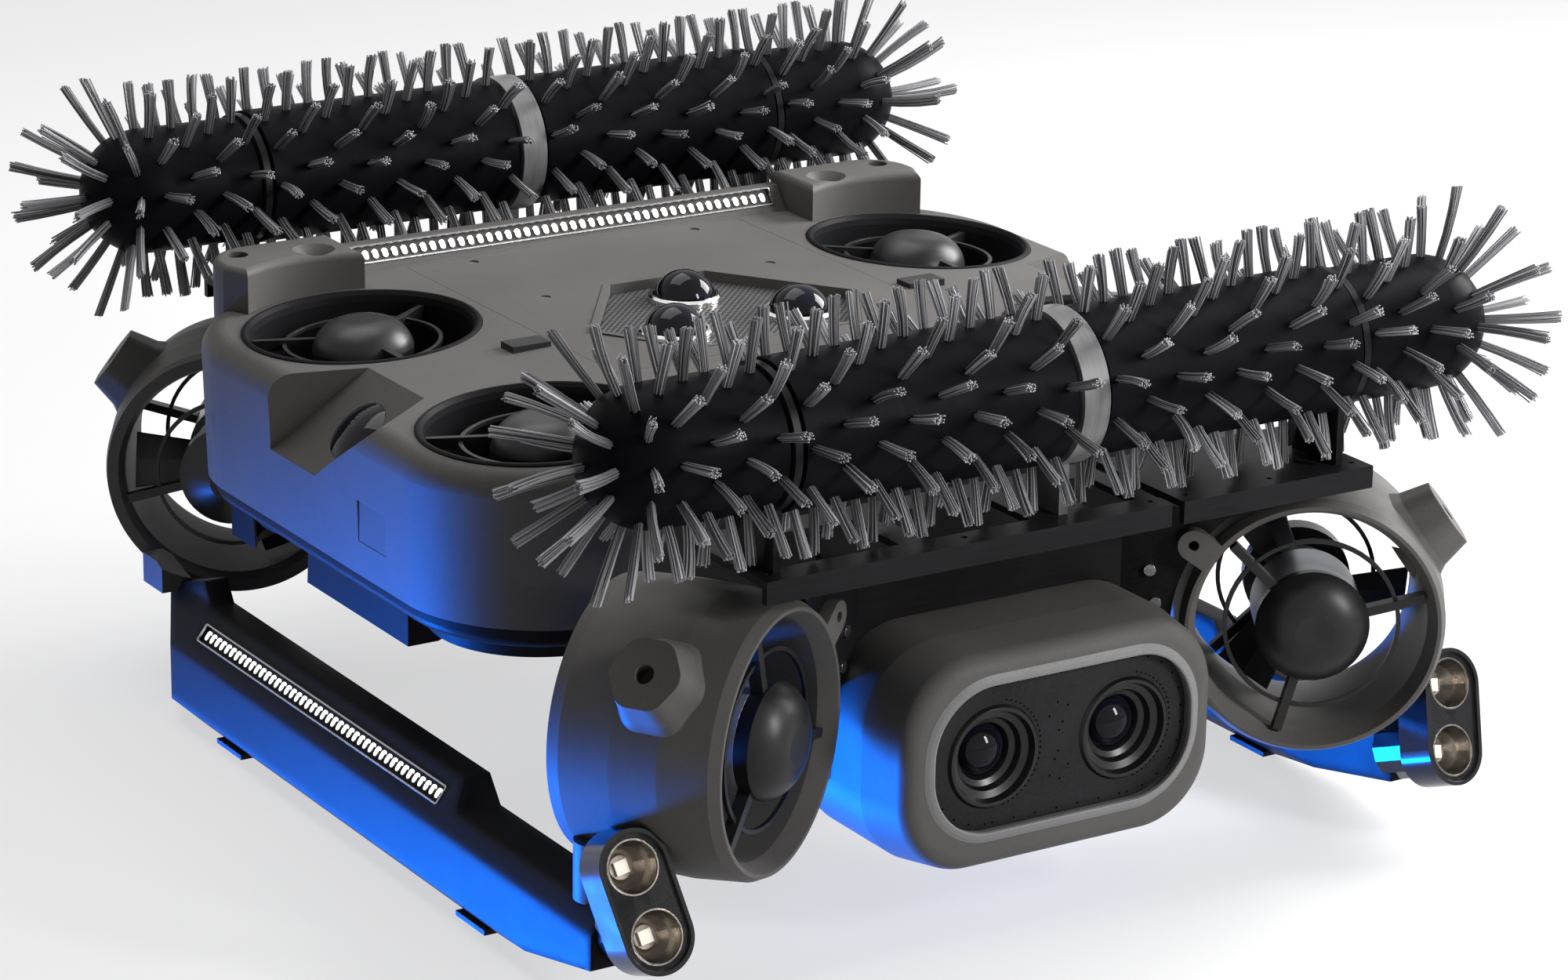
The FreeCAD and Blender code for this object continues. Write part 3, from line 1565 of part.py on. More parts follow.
def tuft(root_point, direction, sideways, length):
    """One bundle of bristles: a frustum that widens towards its tip."""
    third = direction.cross(sideways)
    wires = []
    for reach, wide in ((0.0, float(d.tuft_root)), (length, 1.0)):
        middle = root_point + direction * reach
        across_half = sideways * (float(d.tuft_width) * wide / 2.0)
        up_half = third * (float(d.tuft_thickness) * wide / 2.0)
        corners = [middle + across_half + up_half, middle - across_half + up_half,
                   middle - across_half - up_half, middle + across_half - up_half]
        wires.append(Part.makePolygon(corners + corners[:1]))
    return Part.makeLoft(wires, True, True)


def tuft_cloud(end):
    """Bundles in winding rows round the cores and over the rounded ends."""
    solids = []
    middle = FreeCAD.Vector(0, float(d.brush_y) * end, float(d.brush_height))
    lift = float(d.tuft_lift)
    edge = float(d.tuft_width) / 2 + float(d.tuft_edge)
    bands = (
        (float(d.core_start) + edge, float(d.core_joint) - edge, int(float(d.tuft_columns)),
         float(d.core_radius)),
        (float(d.end_start) + edge, float(d.end_centre), int(float(d.end_columns)), float(d.end_radius)),
    )
    rows = int(float(d.tuft_rows))
    for side in (-1, 1):
        for first, last, columns, radius in bands:
            for column in range(columns):
                x = (first + (last - first) * column / (columns - 1)) * side
                for row in range(rows):
                    turn = math.radians(360.0 * row / rows + float(d.tuft_twist) * column * side)
                    out = FreeCAD.Vector(0, math.cos(turn), math.sin(turn))
                    spot = middle + FreeCAD.Vector(x, 0, 0) + out * (radius + lift)
                    solids.append(tuft(spot, out, FreeCAD.Vector(1, 0, 0), float(d.tip_radius) - radius - lift))
        cap = middle + FreeCAD.Vector(float(d.end_centre) * side, 0, 0)
        radius = float(d.end_radius)
        for rise, count in ((25.0, rows + 1), (55.0, rows - 2), (90.0, 1)):
            for row in range(count):
                turn = math.radians(360.0 * row / count + rise)
                flat = math.cos(math.radians(rise))
                out = FreeCAD.Vector(math.sin(math.radians(rise)) * side, flat * math.cos(turn),
                                     flat * math.sin(turn))
                sideways = FreeCAD.Vector(0, -math.sin(turn), math.cos(turn))
                reach = float(d.cap_reach) - radius - lift
                solids.append(tuft(cap + out * (radius + lift), out, sideways, reach))
    return Part.makeCompound(solids)


# Skids and lamps

slope_out = d.skid_outer - d.skid_slope_in
slope_up = d.skid_slope_top - d.skid_slope_low
slope_span = root(slope_out * slope_out + slope_up * slope_up)
strip_roll = Size(math.degrees(math.atan2(float(slope_up), float(slope_out))),
                  "atan(%s / %s)" % (slope_up.text, slope_out.text))


def strip_place(side, proud):
    """Frame on the sloping face of a skid: X runs back along it and Z points out of it."""
    out_x = slope_up / slope_span
    out_z = slope_out / slope_span
    return {
        "x": (d.skid_outer - slope_out / 2 + out_x * proud) * side,
        "y": d.strip_middle,
        "z": d.skid_slope_low + slope_up / 2 + out_z * proud,
        "yaw": 90,
        "roll": strip_roll * side,
    }


def make_skid(side):
    profile = new_body("skid_profile")
    outline = sketch_on(profile, "YZ_Plane", d.skid_inner * side if side > 0 else -d.skid_outer)
    add_outline(outline, [
        (d.skid_flat_front, d.skid_low),
        (d.skid_flat_back, d.skid_low),
        (d.skid_back, d.skid_back_low),
        (d.skid_back, d.skid_back_top),
        (d.skid_rise_back, d.skid_rise),
        (d.skid_rise_front, d.skid_top),
        (d.skid_step_back, d.skid_top),
        (d.skid_step_front, d.skid_seat),
        (d.skid_front, d.skid_seat),
        (d.skid_front, d.skid_front_low),
    ])
    pad(profile, outline, d.skid_outer - d.skid_inner)
    cross = new_body("skid_cross")
    section = sketch_on(cross, "XZ_Plane", -d.skid_back - 5)
    bevel = d.skid_bevel
    high = d.skid_rise + 5
    points = [
        (d.skid_inner + bevel, d.skid_low),
        (d.skid_outer - bevel, d.skid_low),
        (d.skid_outer, d.skid_low + bevel),
        (d.skid_outer, d.skid_slope_low),
        (d.skid_slope_in, d.skid_slope_top),
        (d.skid_slope_in, high),
        (d.skid_inner, high),
        (d.skid_inner, d.skid_low + bevel),
    ]
    points = [(x * side, z) for x, z in points]
    add_outline(section, points if side > 0 else points[::-1])
    pad(cross, section, d.skid_back - d.skid_front + 10)
    plan = new_body("skid_plan")
    footprint = sketch_on(plan, "XY_Plane")
    points = [
        (d.skid_inner, d.skid_front),
        (d.skid_outer, d.skid_front),
        (d.skid_outer, d.skid_nip),
        (d.skid_slope_in, d.skid_back),
        (d.skid_inner, d.skid_back),
    ]
    points = [(x * side, y) for x, y in points]
    add_outline(footprint, points if side > 0 else points[::-1])
    pad(plan, footprint, high)
    strip = new_body("strip_cut")
    long = strip_length / 2
    wide = d.channel_width / 2
    base = sketch_on(strip, "XY_Plane")
    add_outline(base, [(-long, -wide), (long, -wide), (long, wide), (-long, wide)])
    pad(strip, base, d.channel_depth + 10)
    place(strip, **strip_place(side, -d.channel_depth))
    return cut("skid", common("skid_blank", common("skid_form", profile, cross), plan), [strip])


def lamp_place(side):
    return {
        "x": d.lamp_x * side,
        "y": -d.lamp_y,
        "z": d.lamp_height,
        "pitch": d.lamp_splay * side,
        "roll": 90 - d.lamp_lean,
    }


def stadium(inset):
    half = d.lamp_half_width - inset
    end = d.lamp_pitch + half
    return [
        (half, -d.lamp_pitch),
        (half, d.lamp_pitch, half),
        (size(0), end, half),
        (-half, d.lamp_pitch),
        (-half, -d.lamp_pitch, half),
        (size(0), -end, half),
    ]


def make_lamps(skids):
    housings = []
    reflectors = []
    covers = []
    for side, skid in zip((-1, 1), skids):
        form = prism("lamp_form", stadium(size(0)), -d.lamp_depth, d.cover_thickness)
        recess = prism("cover_recess", stadium(d.lamp_wall), size(0), d.cover_thickness + 1)
        wells = [recess]
        cups = []
        for step in (-1, 1):
            wells.append(cylinder("reflector_well", d.reflector_radius + d.fit_gap, d.reflector_depth + 1,
                                  y=d.lamp_pitch * step, z=-d.reflector_depth))
            cup = new_body("reflector")
            section = sketch_on(cup, "XZ_Plane")
            foot = d.reflector_foot
            wide = d.reflector_radius
            deep = -d.reflector_depth
            wall = d.reflector_wall
            add_outline(section, [
                (size(0), deep), (foot, deep), (wide * 0.82, deep * 0.6), (wide, deep * 0.1),
                (wide, size(0)), (wide - wall, size(0)), (wide - wall, deep * 0.1),
                (wide * 0.82 - wall, deep * 0.6), (foot - wall / 2, deep + wall), (size(0), deep + wall),
            ])
            revolve(cup, section)
            place(cup, y=d.lamp_pitch * step)
            cups.append(cup)
        clamp = doc.addObject("Part::Prism", "clamp")
        clamp.Polygon = 14
        bind(clamp, "Circumradius", d.clamp_radius)
        bind(clamp, "Height", d.clamp_length)
        place(clamp, y=-d.clamp_drop, z=-d.lamp_depth - d.clamp_length)
        shell = cut("lamp_shell", fuse("lamp_solid", [form, clamp]), wells)
        place(shell, **lamp_place(side))
        start = corner_point(side, -1, size(0), size(0), -d.shroud_length)
        clear = cylinder("lamp_clearance", d.bulge_radius + d.lamp_clear, d.shroud_length + 30,
                         yaw=corner_frame(side, -1)["yaw"], roll=90, **start)
        foot = cylinder("foot_clearance", d.foot_radius + d.fit_gap, d.foot_height + 2,
                        x=d.skid_spread * side, y=-d.foot_y, z=d.skid_seat - 1)
        housings.append(cut("lamp_housing", shell, [clear, foot, skid]))
        pair = group("reflector_pair", cups)
        place(pair, **lamp_place(side))
        reflectors.append(pair)
        cover = prism("lamp_cover", stadium(d.lamp_wall + d.fit_gap), size(0), d.cover_thickness)
        place(cover, **lamp_place(side))
        covers.append(cover)
    node("lamp_housings", group("lamp_housings", housings))
    node("lamp_reflectors", group("lamp_reflectors", reflectors))
    node("lamp_covers", group("lamp_covers", covers))


# Screws

def make_fasteners():
    screws = []
    level = crown_level(d.screw_spread) - d.screw_height - 1
    for side in (-1, 1):
        for y in (d.screw_front, d.screw_back):
            screws.append(cylinder("deck_screw", d.screw_radius, d.screw_height, x=d.screw_spread * side, y=y,
                                   z=level))
    for side, end in CORNERS.values():
        hand = corner_hand(side, end)
        for step in (0, 1):
            at = corner_point(side, end, -(d.wing_screw_out + step * 5) * hand,
                              d.wing_screw_up + d.wing_screw_pitch * step, -d.ear_thickness)
            screws.append(cylinder("wing_screw", d.screw_radius, d.screw_height,
                                   yaw=corner_frame(side, end)["yaw"], roll=90, **at))
    node("fasteners", group("fasteners", screws))


make_upper_shell()
make_lower_shell()
make_belly_pan()
make_deck_panel()
make_sensor_window()
make_side_lenses()
make_rubber_pads()
make_rear_posts()
make_light_bar()
make_leds()
make_chassis()
for word, end in (("front", -1), ("rear", 1)):
    make_bulkhead(word + "_bulkhead", end)
    make_brush(word, end)
make_brush_seats()
make_frames()
make_camera()
node("lift_guards", group("lift_guards", [make_lift_guard(*spot) for spot in DUCTS.values()]))
skids = [make_skid(side) for side in (-1, 1)]
node("skid_left", skids[0])
node("skid_right", skids[1])
for corner, (side, y) in DUCTS.items():
    make_lift_duct(corner, side, y)
    make_prop("lift_prop_" + corner, duct_frame(side, y), d.prop_hub, d.pod_length + d.prop_gap,
              d.prop_hub_length, d.prop_tip)
for corner, (side, end) in CORNERS.items():
    make_shroud(corner, side, end, skids[0] if side < 0 else skids[1])
    make_prop("thruster_prop_" + corner, corner_frame(side, end), d.drive_hub, d.drive_front,
              d.drive_hub_length, d.drive_tip)
guards = [make(*spot) for spot in CORNERS.values() for make in (make_nose, make_tail)]
node("thruster_guards", group("thruster_guards", guards))
node("thruster_motors", group("thruster_motors", [make_motor(*spot) for spot in CORNERS.values()]))
make_lamps(skids)
make_fasteners()

doc.recompute()
broken = [item.Label for item in doc.Objects if "Invalid" in item.State or "Error" in item.State]
for name, item in NODES.items():
    if item.Shape.isNull() or not item.Shape.isValid() or item.Shape.Volume <= 0:
        broken.append(name)
if broken:
    raise RuntimeError("not built: " + ", ".join(broken))
os.makedirs("parts", exist_ok=True)
for name, item in NODES.items():
    item.Shape.exportStep(os.path.join("parts", name + ".step"))
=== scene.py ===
"""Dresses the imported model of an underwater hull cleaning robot.

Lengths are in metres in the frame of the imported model: the robot stands on its skids at Z = 0, its
cameras look along -Y, and X runs across it. Each operator makes or finishes one group of pieces.
"""
import json
import math

import bpy
import numpy as np
from bpy.props import (
    BoolProperty,
    FloatProperty,
    FloatVectorProperty,
    IntProperty,
    PointerProperty,
)
from bpy.types import Operator, Panel, PropertyGroup
from mathutils import Matrix, Vector

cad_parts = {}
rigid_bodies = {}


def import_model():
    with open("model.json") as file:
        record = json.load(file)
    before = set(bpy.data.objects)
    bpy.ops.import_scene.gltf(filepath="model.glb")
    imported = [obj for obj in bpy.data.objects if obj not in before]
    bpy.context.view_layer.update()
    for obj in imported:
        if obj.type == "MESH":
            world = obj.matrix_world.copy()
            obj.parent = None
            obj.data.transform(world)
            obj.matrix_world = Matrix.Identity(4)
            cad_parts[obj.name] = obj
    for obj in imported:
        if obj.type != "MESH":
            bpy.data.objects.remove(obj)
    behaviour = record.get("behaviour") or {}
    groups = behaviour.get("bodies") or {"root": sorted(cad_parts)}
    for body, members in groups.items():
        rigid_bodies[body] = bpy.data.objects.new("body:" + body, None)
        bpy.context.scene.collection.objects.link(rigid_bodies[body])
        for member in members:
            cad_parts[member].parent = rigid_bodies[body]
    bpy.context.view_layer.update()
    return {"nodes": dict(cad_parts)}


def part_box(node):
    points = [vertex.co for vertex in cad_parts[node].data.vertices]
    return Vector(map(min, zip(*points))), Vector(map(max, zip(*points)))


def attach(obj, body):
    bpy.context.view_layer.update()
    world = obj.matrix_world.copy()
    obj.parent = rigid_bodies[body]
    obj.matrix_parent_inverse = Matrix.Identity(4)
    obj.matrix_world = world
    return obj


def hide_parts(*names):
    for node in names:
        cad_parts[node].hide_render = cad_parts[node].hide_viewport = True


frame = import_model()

bl_info = {
    "name": "Hull Cleaning Robot",
    "version": (1, 0, 0),
    "blender": (4, 5, 0),
    "location": "3D Viewport > Sidebar > Robot",
    "description": "Finishes a brush-driven underwater robot and sets it in a plain studio",
    "category": "Object",
}

MM = 0.001
ACROSS = np.array([1.0, 0.0, 0.0])
AHEAD = np.array([0.0, -1.0, 0.0])
UP = np.array([0.0, 0.0, 1.0])

# Light strips. A span is (low, high) outwards from the face that a piece lies on, and a profile
# is a closed line of (outward, upward) steps from the outline that it is carried round. The last
# two are the places along Y that part the bar's chips and the lamps' own from the skids'.
CHIP_COUNT = 45
CHIP_PITCH = 8.8 * MM
CHIP_HALF_LENGTH = 2.5 * MM
CHIP_HALF_WIDTH = 4.1 * MM
CHIP_CORNER = 2.4 * MM
CHIP_SPAN = (-1.0 * MM, 1.0 * MM)
CHIP_SHOULDER = 0.25
TRIM_END = 3.0 * MM
TRIM_HALF_WIDTH = 7.0 * MM
TRIM_CORNER = 1.0 * MM
TRIM_PROFILE = np.array([(-0.5, 1.4), (1.3, 1.4), (1.1, 2.7), (-0.2, 2.9)]) * MM
CORNER_STEPS = 4
BAR_BEHIND = 0.25
LAMPS_BEFORE = -0.38

# Lamps: a bowl's distance from its lamp's middle, its mouth, and the square chip inside it
BOWL_STEP = 25.5 * MM
MOUTH_RADIUS = 19.1 * MM
MOUTH_STEPS = 48
MOUTH_PROFILE = np.array([(0.0, -3.0), (1.1, -3.0), (1.1, -1.9), (0.5, -1.65), (0.0, -1.9)]) * MM
LAMP_CHIP_HALF = 5.0 * MM
LAMP_CHIP_SPAN = (-22.0 * MM, -20.2 * MM)
LAMP_CHIP_SHOULDER = 0.05

# Camera face plate: a lens's distance from the middle, the pins and the lip round the plate
LENS_STEP = 57.5 * MM
FACE_CORNER = 50.0 * MM
PIN_INSET = 4.0 * MM
PIN_CORNERS = 8
PIN_SPAN = (-0.5 * MM, 0.25 * MM)
PIN_SHOULDER = 0.2
EDGE_PIN_RADIUS = 0.9 * MM
EDGE_PIN_STEPS = 6
TOP_PIN_COUNT = 7
MIDDLE_PINS = np.array([(0.0, 8.0), (3.0, 14.0), (-9.0, 20.0), (7.0, 26.0), (-2.0, 30.0)]) * MM
LENS_PIN_RADIUS = 0.8 * MM
LENS_PIN_COUNT = 26
LENS_PIN_RING = 41.5 * MM
LENS_PIN_TURN = 0.42 * math.pi
LIP_STEPS = 16
LIP_PROFILE = np.array(
    [(-0.2, 5.0), (7.6, 5.0), (7.6, 6.1), (4.2, 7.9), (1.2, 8.7), (-0.2, 8.2)]) * MM

# Brushes: bundles stand in winding rows of columns, and in rings of (rise, count) over each end
BUNDLE_ROWS = 11
BUNDLE_TWIST = math.radians(19.0)
BUNDLE_EDGE = 6.75 * MM
MID_COLUMNS = 9
END_COLUMNS = 4
CAP_RINGS = ((25.0, BUNDLE_ROWS + 1), (55.0, BUNDLE_ROWS - 2), (90.0, 1))
CAP_MARGIN = 10.0 * MM
FILAMENT_RINGS = 4
FILAMENT_CORNERS = 4
FILAMENT_SUNK = 0.6 * MM
FILAMENT_SCATTER = 0.07
TIP_SCATTER = 0.12
BOW_POWER = 1.4


# Settings that a user would change

class BristleSettings(PropertyGroup):
    """Sizes of the bristle bundles on the two brushes."""

    filaments: IntProperty(
        name="Filaments", description="Thin bristles in one bundle", default=20, min=3, max=40)
    thickness: FloatProperty(
        name="Thickness", description="Width of one bristle", default=1.3 * MM, subtype="DISTANCE")
    root_width: FloatProperty(
        name="Root width", description="Width of a bundle where it leaves the core",
        default=7.0 * MM, subtype="DISTANCE")
    tip_width: FloatProperty(
        name="Tip width", description="Width of a bundle at its cut ends",
        default=9.2 * MM, subtype="DISTANCE")
    flatness: FloatProperty(
        name="Flatness", description="Depth of a bundle as a share of its width",
        default=0.72, subtype="FACTOR", min=0.2, max=1.0)
    lean: FloatProperty(
        name="Lean", description="How far a bundle leans from standing straight",
        default=math.radians(3.2), subtype="ANGLE")
    cut: FloatProperty(
        name="Uneven cut", description="How much shorter the shortest bristles are",
        default=0.075, subtype="FACTOR", min=0.0, max=0.4)
    seed: IntProperty(
        name="Seed", description="Number that the uneven lengths and leans start from", default=11)


class FinishSettings(PropertyGroup):
    """Colours of the robot's own finishes, in linear light."""

    shell: FloatVectorProperty(
        name="Shell", description="Warm grey of the upper shell, posts, shrouds and camera housing",
        default=(0.082, 0.078, 0.075), subtype="COLOR", size=3)
    tray: FloatVectorProperty(
        name="Tray", description="Dark grey of the lower shell, the belly and the skids",
        default=(0.009, 0.009, 0.010), subtype="COLOR", size=3)
    plate: FloatVectorProperty(
        name="Plate", description="Black of the frames and bulkheads",
        default=(0.009, 0.009, 0.010), subtype="COLOR", size=3)
    core: FloatVectorProperty(
        name="Core", description="Purple black of the brush cores",
        default=(0.0042, 0.0038, 0.0050), subtype="COLOR", size=3)
    bristle: FloatVectorProperty(
        name="Bristle", description="Grey of the nylon bristles",
        default=(0.24, 0.24, 0.25), subtype="COLOR", size=3)


class StudioSettings(PropertyGroup):
    """Lamps and floor of the plain studio."""

    key_power: FloatProperty(
        name="Key lamp", description="Power of the large lamp on the right", default=210.0,
        subtype="POWER")
    top_power: FloatProperty(
        name="Top lamp", description="Power of the soft lamp overhead", default=70.0,
        subtype="POWER")
    side_power: FloatProperty(
        name="Side lamp", description="Power of the narrow upright lamp at the front right",
        default=62.0, subtype="POWER")
    rim_power: FloatProperty(
        name="Rim lamp", description="Power of the cool lamp below on the left", default=30.0,
        subtype="POWER")
    room_level: FloatProperty(
        name="Room light", description="Strength of the even light from the room",
        default=0.07, min=0.0, max=2.0)
    floor_colour: FloatVectorProperty(
        name="Floor", description="Colour of the pale floor", default=(0.66, 0.66, 0.66),
        subtype="COLOR", size=3)
    use_rim: BoolProperty(
        name="Cool rim", description="Light the low left side with a cool lamp", default=True)


# Materials

class Finish:
    """One material on its way: its node tree, its shader and the object's own coordinates."""

    def __init__(self, name, **sockets):
        self.material = bpy.data.materials.new(name)
        self.material.use_nodes = True
        self.tree = self.material.node_tree
        self.shader = self.tree.nodes["Principled BSDF"]
        self.place = self.add("ShaderNodeTexCoord").outputs["Object"]
        self.normal = None
        for label, value in sockets.items():
            self.shader.inputs[label.replace("_", " ")].default_value = value

    def add(self, kind, **settings):
        """Adds a node; a setting named as one of its sockets sets or links that socket."""
        made = self.tree.nodes.new(kind)
        for label, value in settings.items():
            if label in made.bl_rna.properties:
                setattr(made, label, value)
                continue
            socket = made.inputs[label.replace("_", " ")]
            if isinstance(value, bpy.types.NodeSocket):
                self.tree.links.new(value, socket)
            else:
                socket.default_value = value
        return made

    def cloud(self, scale, detail=3.0, stretch=None):
        """A cloudy value from 0 to 1, drawn out along the axes where stretch is under 1."""
        where = self.place
        if stretch is not None:
            where = self.add("ShaderNodeMapping", Vector=where, Scale=stretch).outputs["Vector"]
        noise = self.add("ShaderNodeTexNoise", Vector=where, Scale=scale, Detail=detail)
        return noise.outputs["Fac"]

    def ramp(self, value, *stops):
        """A colour ramp over a value; each stop is a place and a colour."""
        made = self.add("ShaderNodeValToRGB", Fac=value)
        elements = made.color_ramp.elements
        while len(elements) < len(stops):
            elements.new(0.5)
        for element, (where, colour) in zip(elements, stops):
            element.position = where
            element.color = (*colour, 1.0)
        return made.outputs["Color"]

    def blend(self, share, first, second):
        """A colour that goes from the first to the second as the share goes from 0 to 1."""
        made = self.add("ShaderNodeMix", data_type="RGBA")
        for index, value in ((0, share), (6, first), (7, second)):
            socket = made.inputs[index]
            if isinstance(value, bpy.types.NodeSocket):
                self.tree.links.new(value, socket)
            else:
                socket.default_value = value if index == 0 else (*value, 1.0)
        return made.outputs[2]

    def span(self, value, low, high, start=0.0, end=1.0):
        """A value brought from the span start to end into the span low to high, and held in it."""
        made = self.add("ShaderNodeMapRange", Value=value)
        for index, bound in ((1, start), (2, end), (3, low), (4, high)):
            made.inputs[index].default_value = bound
        return made.outputs["Result"]

    def larger(self, first, second):
        """The larger of two values."""
        made = self.add("ShaderNodeMath", operation="MAXIMUM")
        self.tree.links.new(first, made.inputs[0])
        self.tree.links.new(second, made.inputs[1])
        return made.outputs["Value"]

    def colour(self, socket):
        self.tree.links.new(socket, self.shader.inputs["Base Color"])

    def gloss(self, socket):
        self.tree.links.new(socket, self.shader.inputs["Roughness"])

    def soft_edges(self, radius):
        """Light caught along the edges, as on a part whose edges are broken by this radius."""
        self.normal = self.add("ShaderNodeBevel", samples=4, Radius=radius).outputs["Normal"]

    def relief(self, value, height, strength):
        """Small bumps of this height, laid over what is there already."""
        made = self.add("ShaderNodeBump", Height=value, Distance=height, Strength=strength)
        if self.normal is not None:
            self.tree.links.new(self.normal, made.inputs["Normal"])
        self.normal = made.outputs["Normal"]

    def done(self):
        """Links the bumps and soft edges, and gives the finished material."""
        if self.normal is not None:
            self.tree.links.new(self.normal, self.shader.inputs["Normal"])
        return self.material


def shaded(colour, share):
    """The colour made darker, or lighter where the share is over 1."""
    return tuple(min(1.0, channel * share) for channel in colour)


def moulded_shell(name, colour, roughness=0.52, gloss=0.09, edges=0.9 * MM):
    """Satin moulded plastic: cloudy tone, a fine leathery grain and softly broken edges."""
    finish = Finish(name, Specular_IOR_Level=gloss)
    patches = finish.cloud(7.0, detail=5.0)
    speckle = finish.cloud(950.0, detail=2.0)
    tone = finish.ramp(patches, (0.32, shaded(colour, 0.88)), (0.68, shaded(colour, 1.08)))
    flecks = finish.span(speckle, 0.0, 0.35, 0.45, 0.75)
    finish.colour(finish.blend(flecks, tone, shaded(colour, 1.5)))
    finish.gloss(finish.span(finish.cloud(24.0, detail=6.0), roughness - 0.06, roughness + 0.08))
    finish.soft_edges(edges)
    finish.relief(finish.cloud(1500.0, detail=2.0), 0.05 * MM, 0.5)
    finish.relief(finish.cloud(60.0, detail=2.0), 0.15 * MM, 0.35)
    return finish.done()


def anodised_plate(name, colour, along=(0.06, 1.0, 1.0)):
    """Black anodised metal: faint drawn lines along the plate, and softly broken edges."""
    finish = Finish(name, Specular_IOR_Level=0.06)
    drawn = finish.cloud(420.0, detail=4.0, stretch=along)
    patches = finish.cloud(11.0, detail=4.0)
    tone = finish.ramp(patches, (0.35, shaded(colour, 0.75)), (0.7, shaded(colour, 1.25)))
    streaks = finish.span(drawn, 0.0, 0.5, 0.4, 0.8)
    finish.colour(finish.blend(streaks, tone, shaded(colour, 1.7)))
    finish.gloss(finish.span(drawn, 0.30, 0.46))
    finish.soft_edges(0.6 * MM)
    finish.relief(drawn, 0.03 * MM, 0.5)
    return finish.done()


def brush_core(name, colour):
    """Moulded core of a brush: purple black with a soft sheen and faint turning lines."""
    finish = Finish(name, Specular_IOR_Level=0.015)
    lines = finish.cloud(300.0, detail=3.0, stretch=(1.0, 0.08, 0.08))
    patches = finish.cloud(14.0, detail=4.0)
    finish.colour(finish.ramp(patches, (0.3, shaded(colour, 0.8)), (0.7, shaded(colour, 1.3))))
    finish.gloss(finish.span(lines, 0.34, 0.5))
    finish.soft_edges(1.0 * MM)
    finish.relief(lines, 0.04 * MM, 0.35)
    return finish.done()


def nylon(name, colour):
    """Nylon filaments: each has its own tone and a soft shine, and painted shade darkens it towards
    its root, among the other bundles.
    """
    finish = Finish(name, Roughness=0.42, Specular_IOR_Level=0.3)
    own = finish.add("ShaderNodeAttribute", attribute_name="filament_tone").outputs["Fac"]
    reach = finish.add("ShaderNodeAttribute", attribute_name="filament_reach").outputs["Fac"]
    tone = finish.ramp(own, (0.0, shaded(colour, 0.45)), (0.6, colour), (1.0, shaded(colour, 2.0)))
    # Painted shade: each filament is blended towards a quarter of its grey near its root, fading out
    # at its tip.
    finish.colour(finish.blend(finish.span(reach, 0.65, 0.0), tone, shaded(colour, 0.25)))
    finish.relief(finish.cloud(900.0, detail=2.0), 0.05 * MM, 0.4)
    return finish.done()


def satin_ring(name, colour):
    """Light grey band in the middle of a brush, with fine lines round it."""
    finish = Finish(name, Specular_IOR_Level=0.3)
    lines = finish.cloud(900.0, detail=2.0, stretch=(1.0, 0.05, 0.05))
    finish.colour(finish.ramp(lines, (0.3, shaded(colour, 0.8)), (0.7, shaded(colour, 1.15))))
    finish.gloss(finish.span(lines, 0.32, 0.48))
    finish.soft_edges(0.5 * MM)
    finish.relief(lines, 0.03 * MM, 0.4)
    return finish.done()


def blasted_can(name, colour):
    """Bead-blasted metal of the motor cans, with a fine even grain."""
    finish = Finish(name, Metallic=0.75, Specular_IOR_Level=0.5)
    grain = finish.cloud(1800.0, detail=2.0)
    patches = finish.cloud(30.0)
    finish.colour(finish.ramp(patches, (0.3, shaded(colour, 0.85)), (0.7, shaded(colour, 1.1))))
    finish.gloss(finish.span(grain, 0.30, 0.5))
    finish.soft_edges(0.6 * MM)
    finish.relief(grain, 0.04 * MM, 0.6)
    return finish.done()


def moulded_rubber(name, colour=(0.012, 0.012, 0.013), shine=0.2):
    """Dull black rubber with a dusty bloom."""
    finish = Finish(name, Specular_IOR_Level=shine)
    bloom = finish.cloud(45.0, detail=6.0)
    finish.colour(finish.ramp(bloom, (0.35, colour), (0.8, shaded(colour, 2.0))))
    finish.gloss(finish.span(bloom, 0.55, 0.8))
    finish.soft_edges(0.8 * MM)
    finish.relief(finish.cloud(700.0, detail=3.0), 0.08 * MM, 0.5)
    return finish.done()


def bare_steel(name, colour=(0.55, 0.55, 0.56)):
    """Bright turned steel with fine lines."""
    finish = Finish(name, Metallic=1.0)
    lines = finish.cloud(1400.0, detail=3.0, stretch=(0.2, 1.0, 1.0))
    finish.colour(finish.ramp(lines, (0.3, shaded(colour, 0.75)), (0.75, shaded(colour, 1.2))))
    finish.gloss(finish.span(lines, 0.18, 0.36))
    finish.soft_edges(0.3 * MM)
    finish.relief(lines, 0.02 * MM, 0.4)
    return finish.done()


def clear_glass(name, tint=(0.02, 0.021, 0.022)):
    """Clear cover glass with the faintest smear: it lets the piece behind it show through."""
    finish = Finish(name, IOR=1.46, Alpha=0.06, Specular_IOR_Level=0.5)
    smear = finish.cloud(40.0, detail=4.0)
    finish.colour(finish.ramp(smear, (0.3, tint), (0.8, shaded(tint, 0.96))))
    finish.gloss(finish.span(smear, 0.02, 0.05))
    return finish.done()


def dark_glass(name, colour=(0.003, 0.003, 0.004)):
    """Polished lens glass over a dark inside, with a faint bloom of its coating."""
    finish = Finish(name, Specular_IOR_Level=0.15)
    bloom = finish.cloud(50.0, detail=3.0)
    coating = (colour[0] * 2.0, colour[1] * 2.0, colour[2] * 3.5)
    finish.colour(finish.ramp(bloom, (0.35, colour), (0.75, coating)))
    finish.gloss(finish.span(bloom, 0.03, 0.07))
    return finish.done()


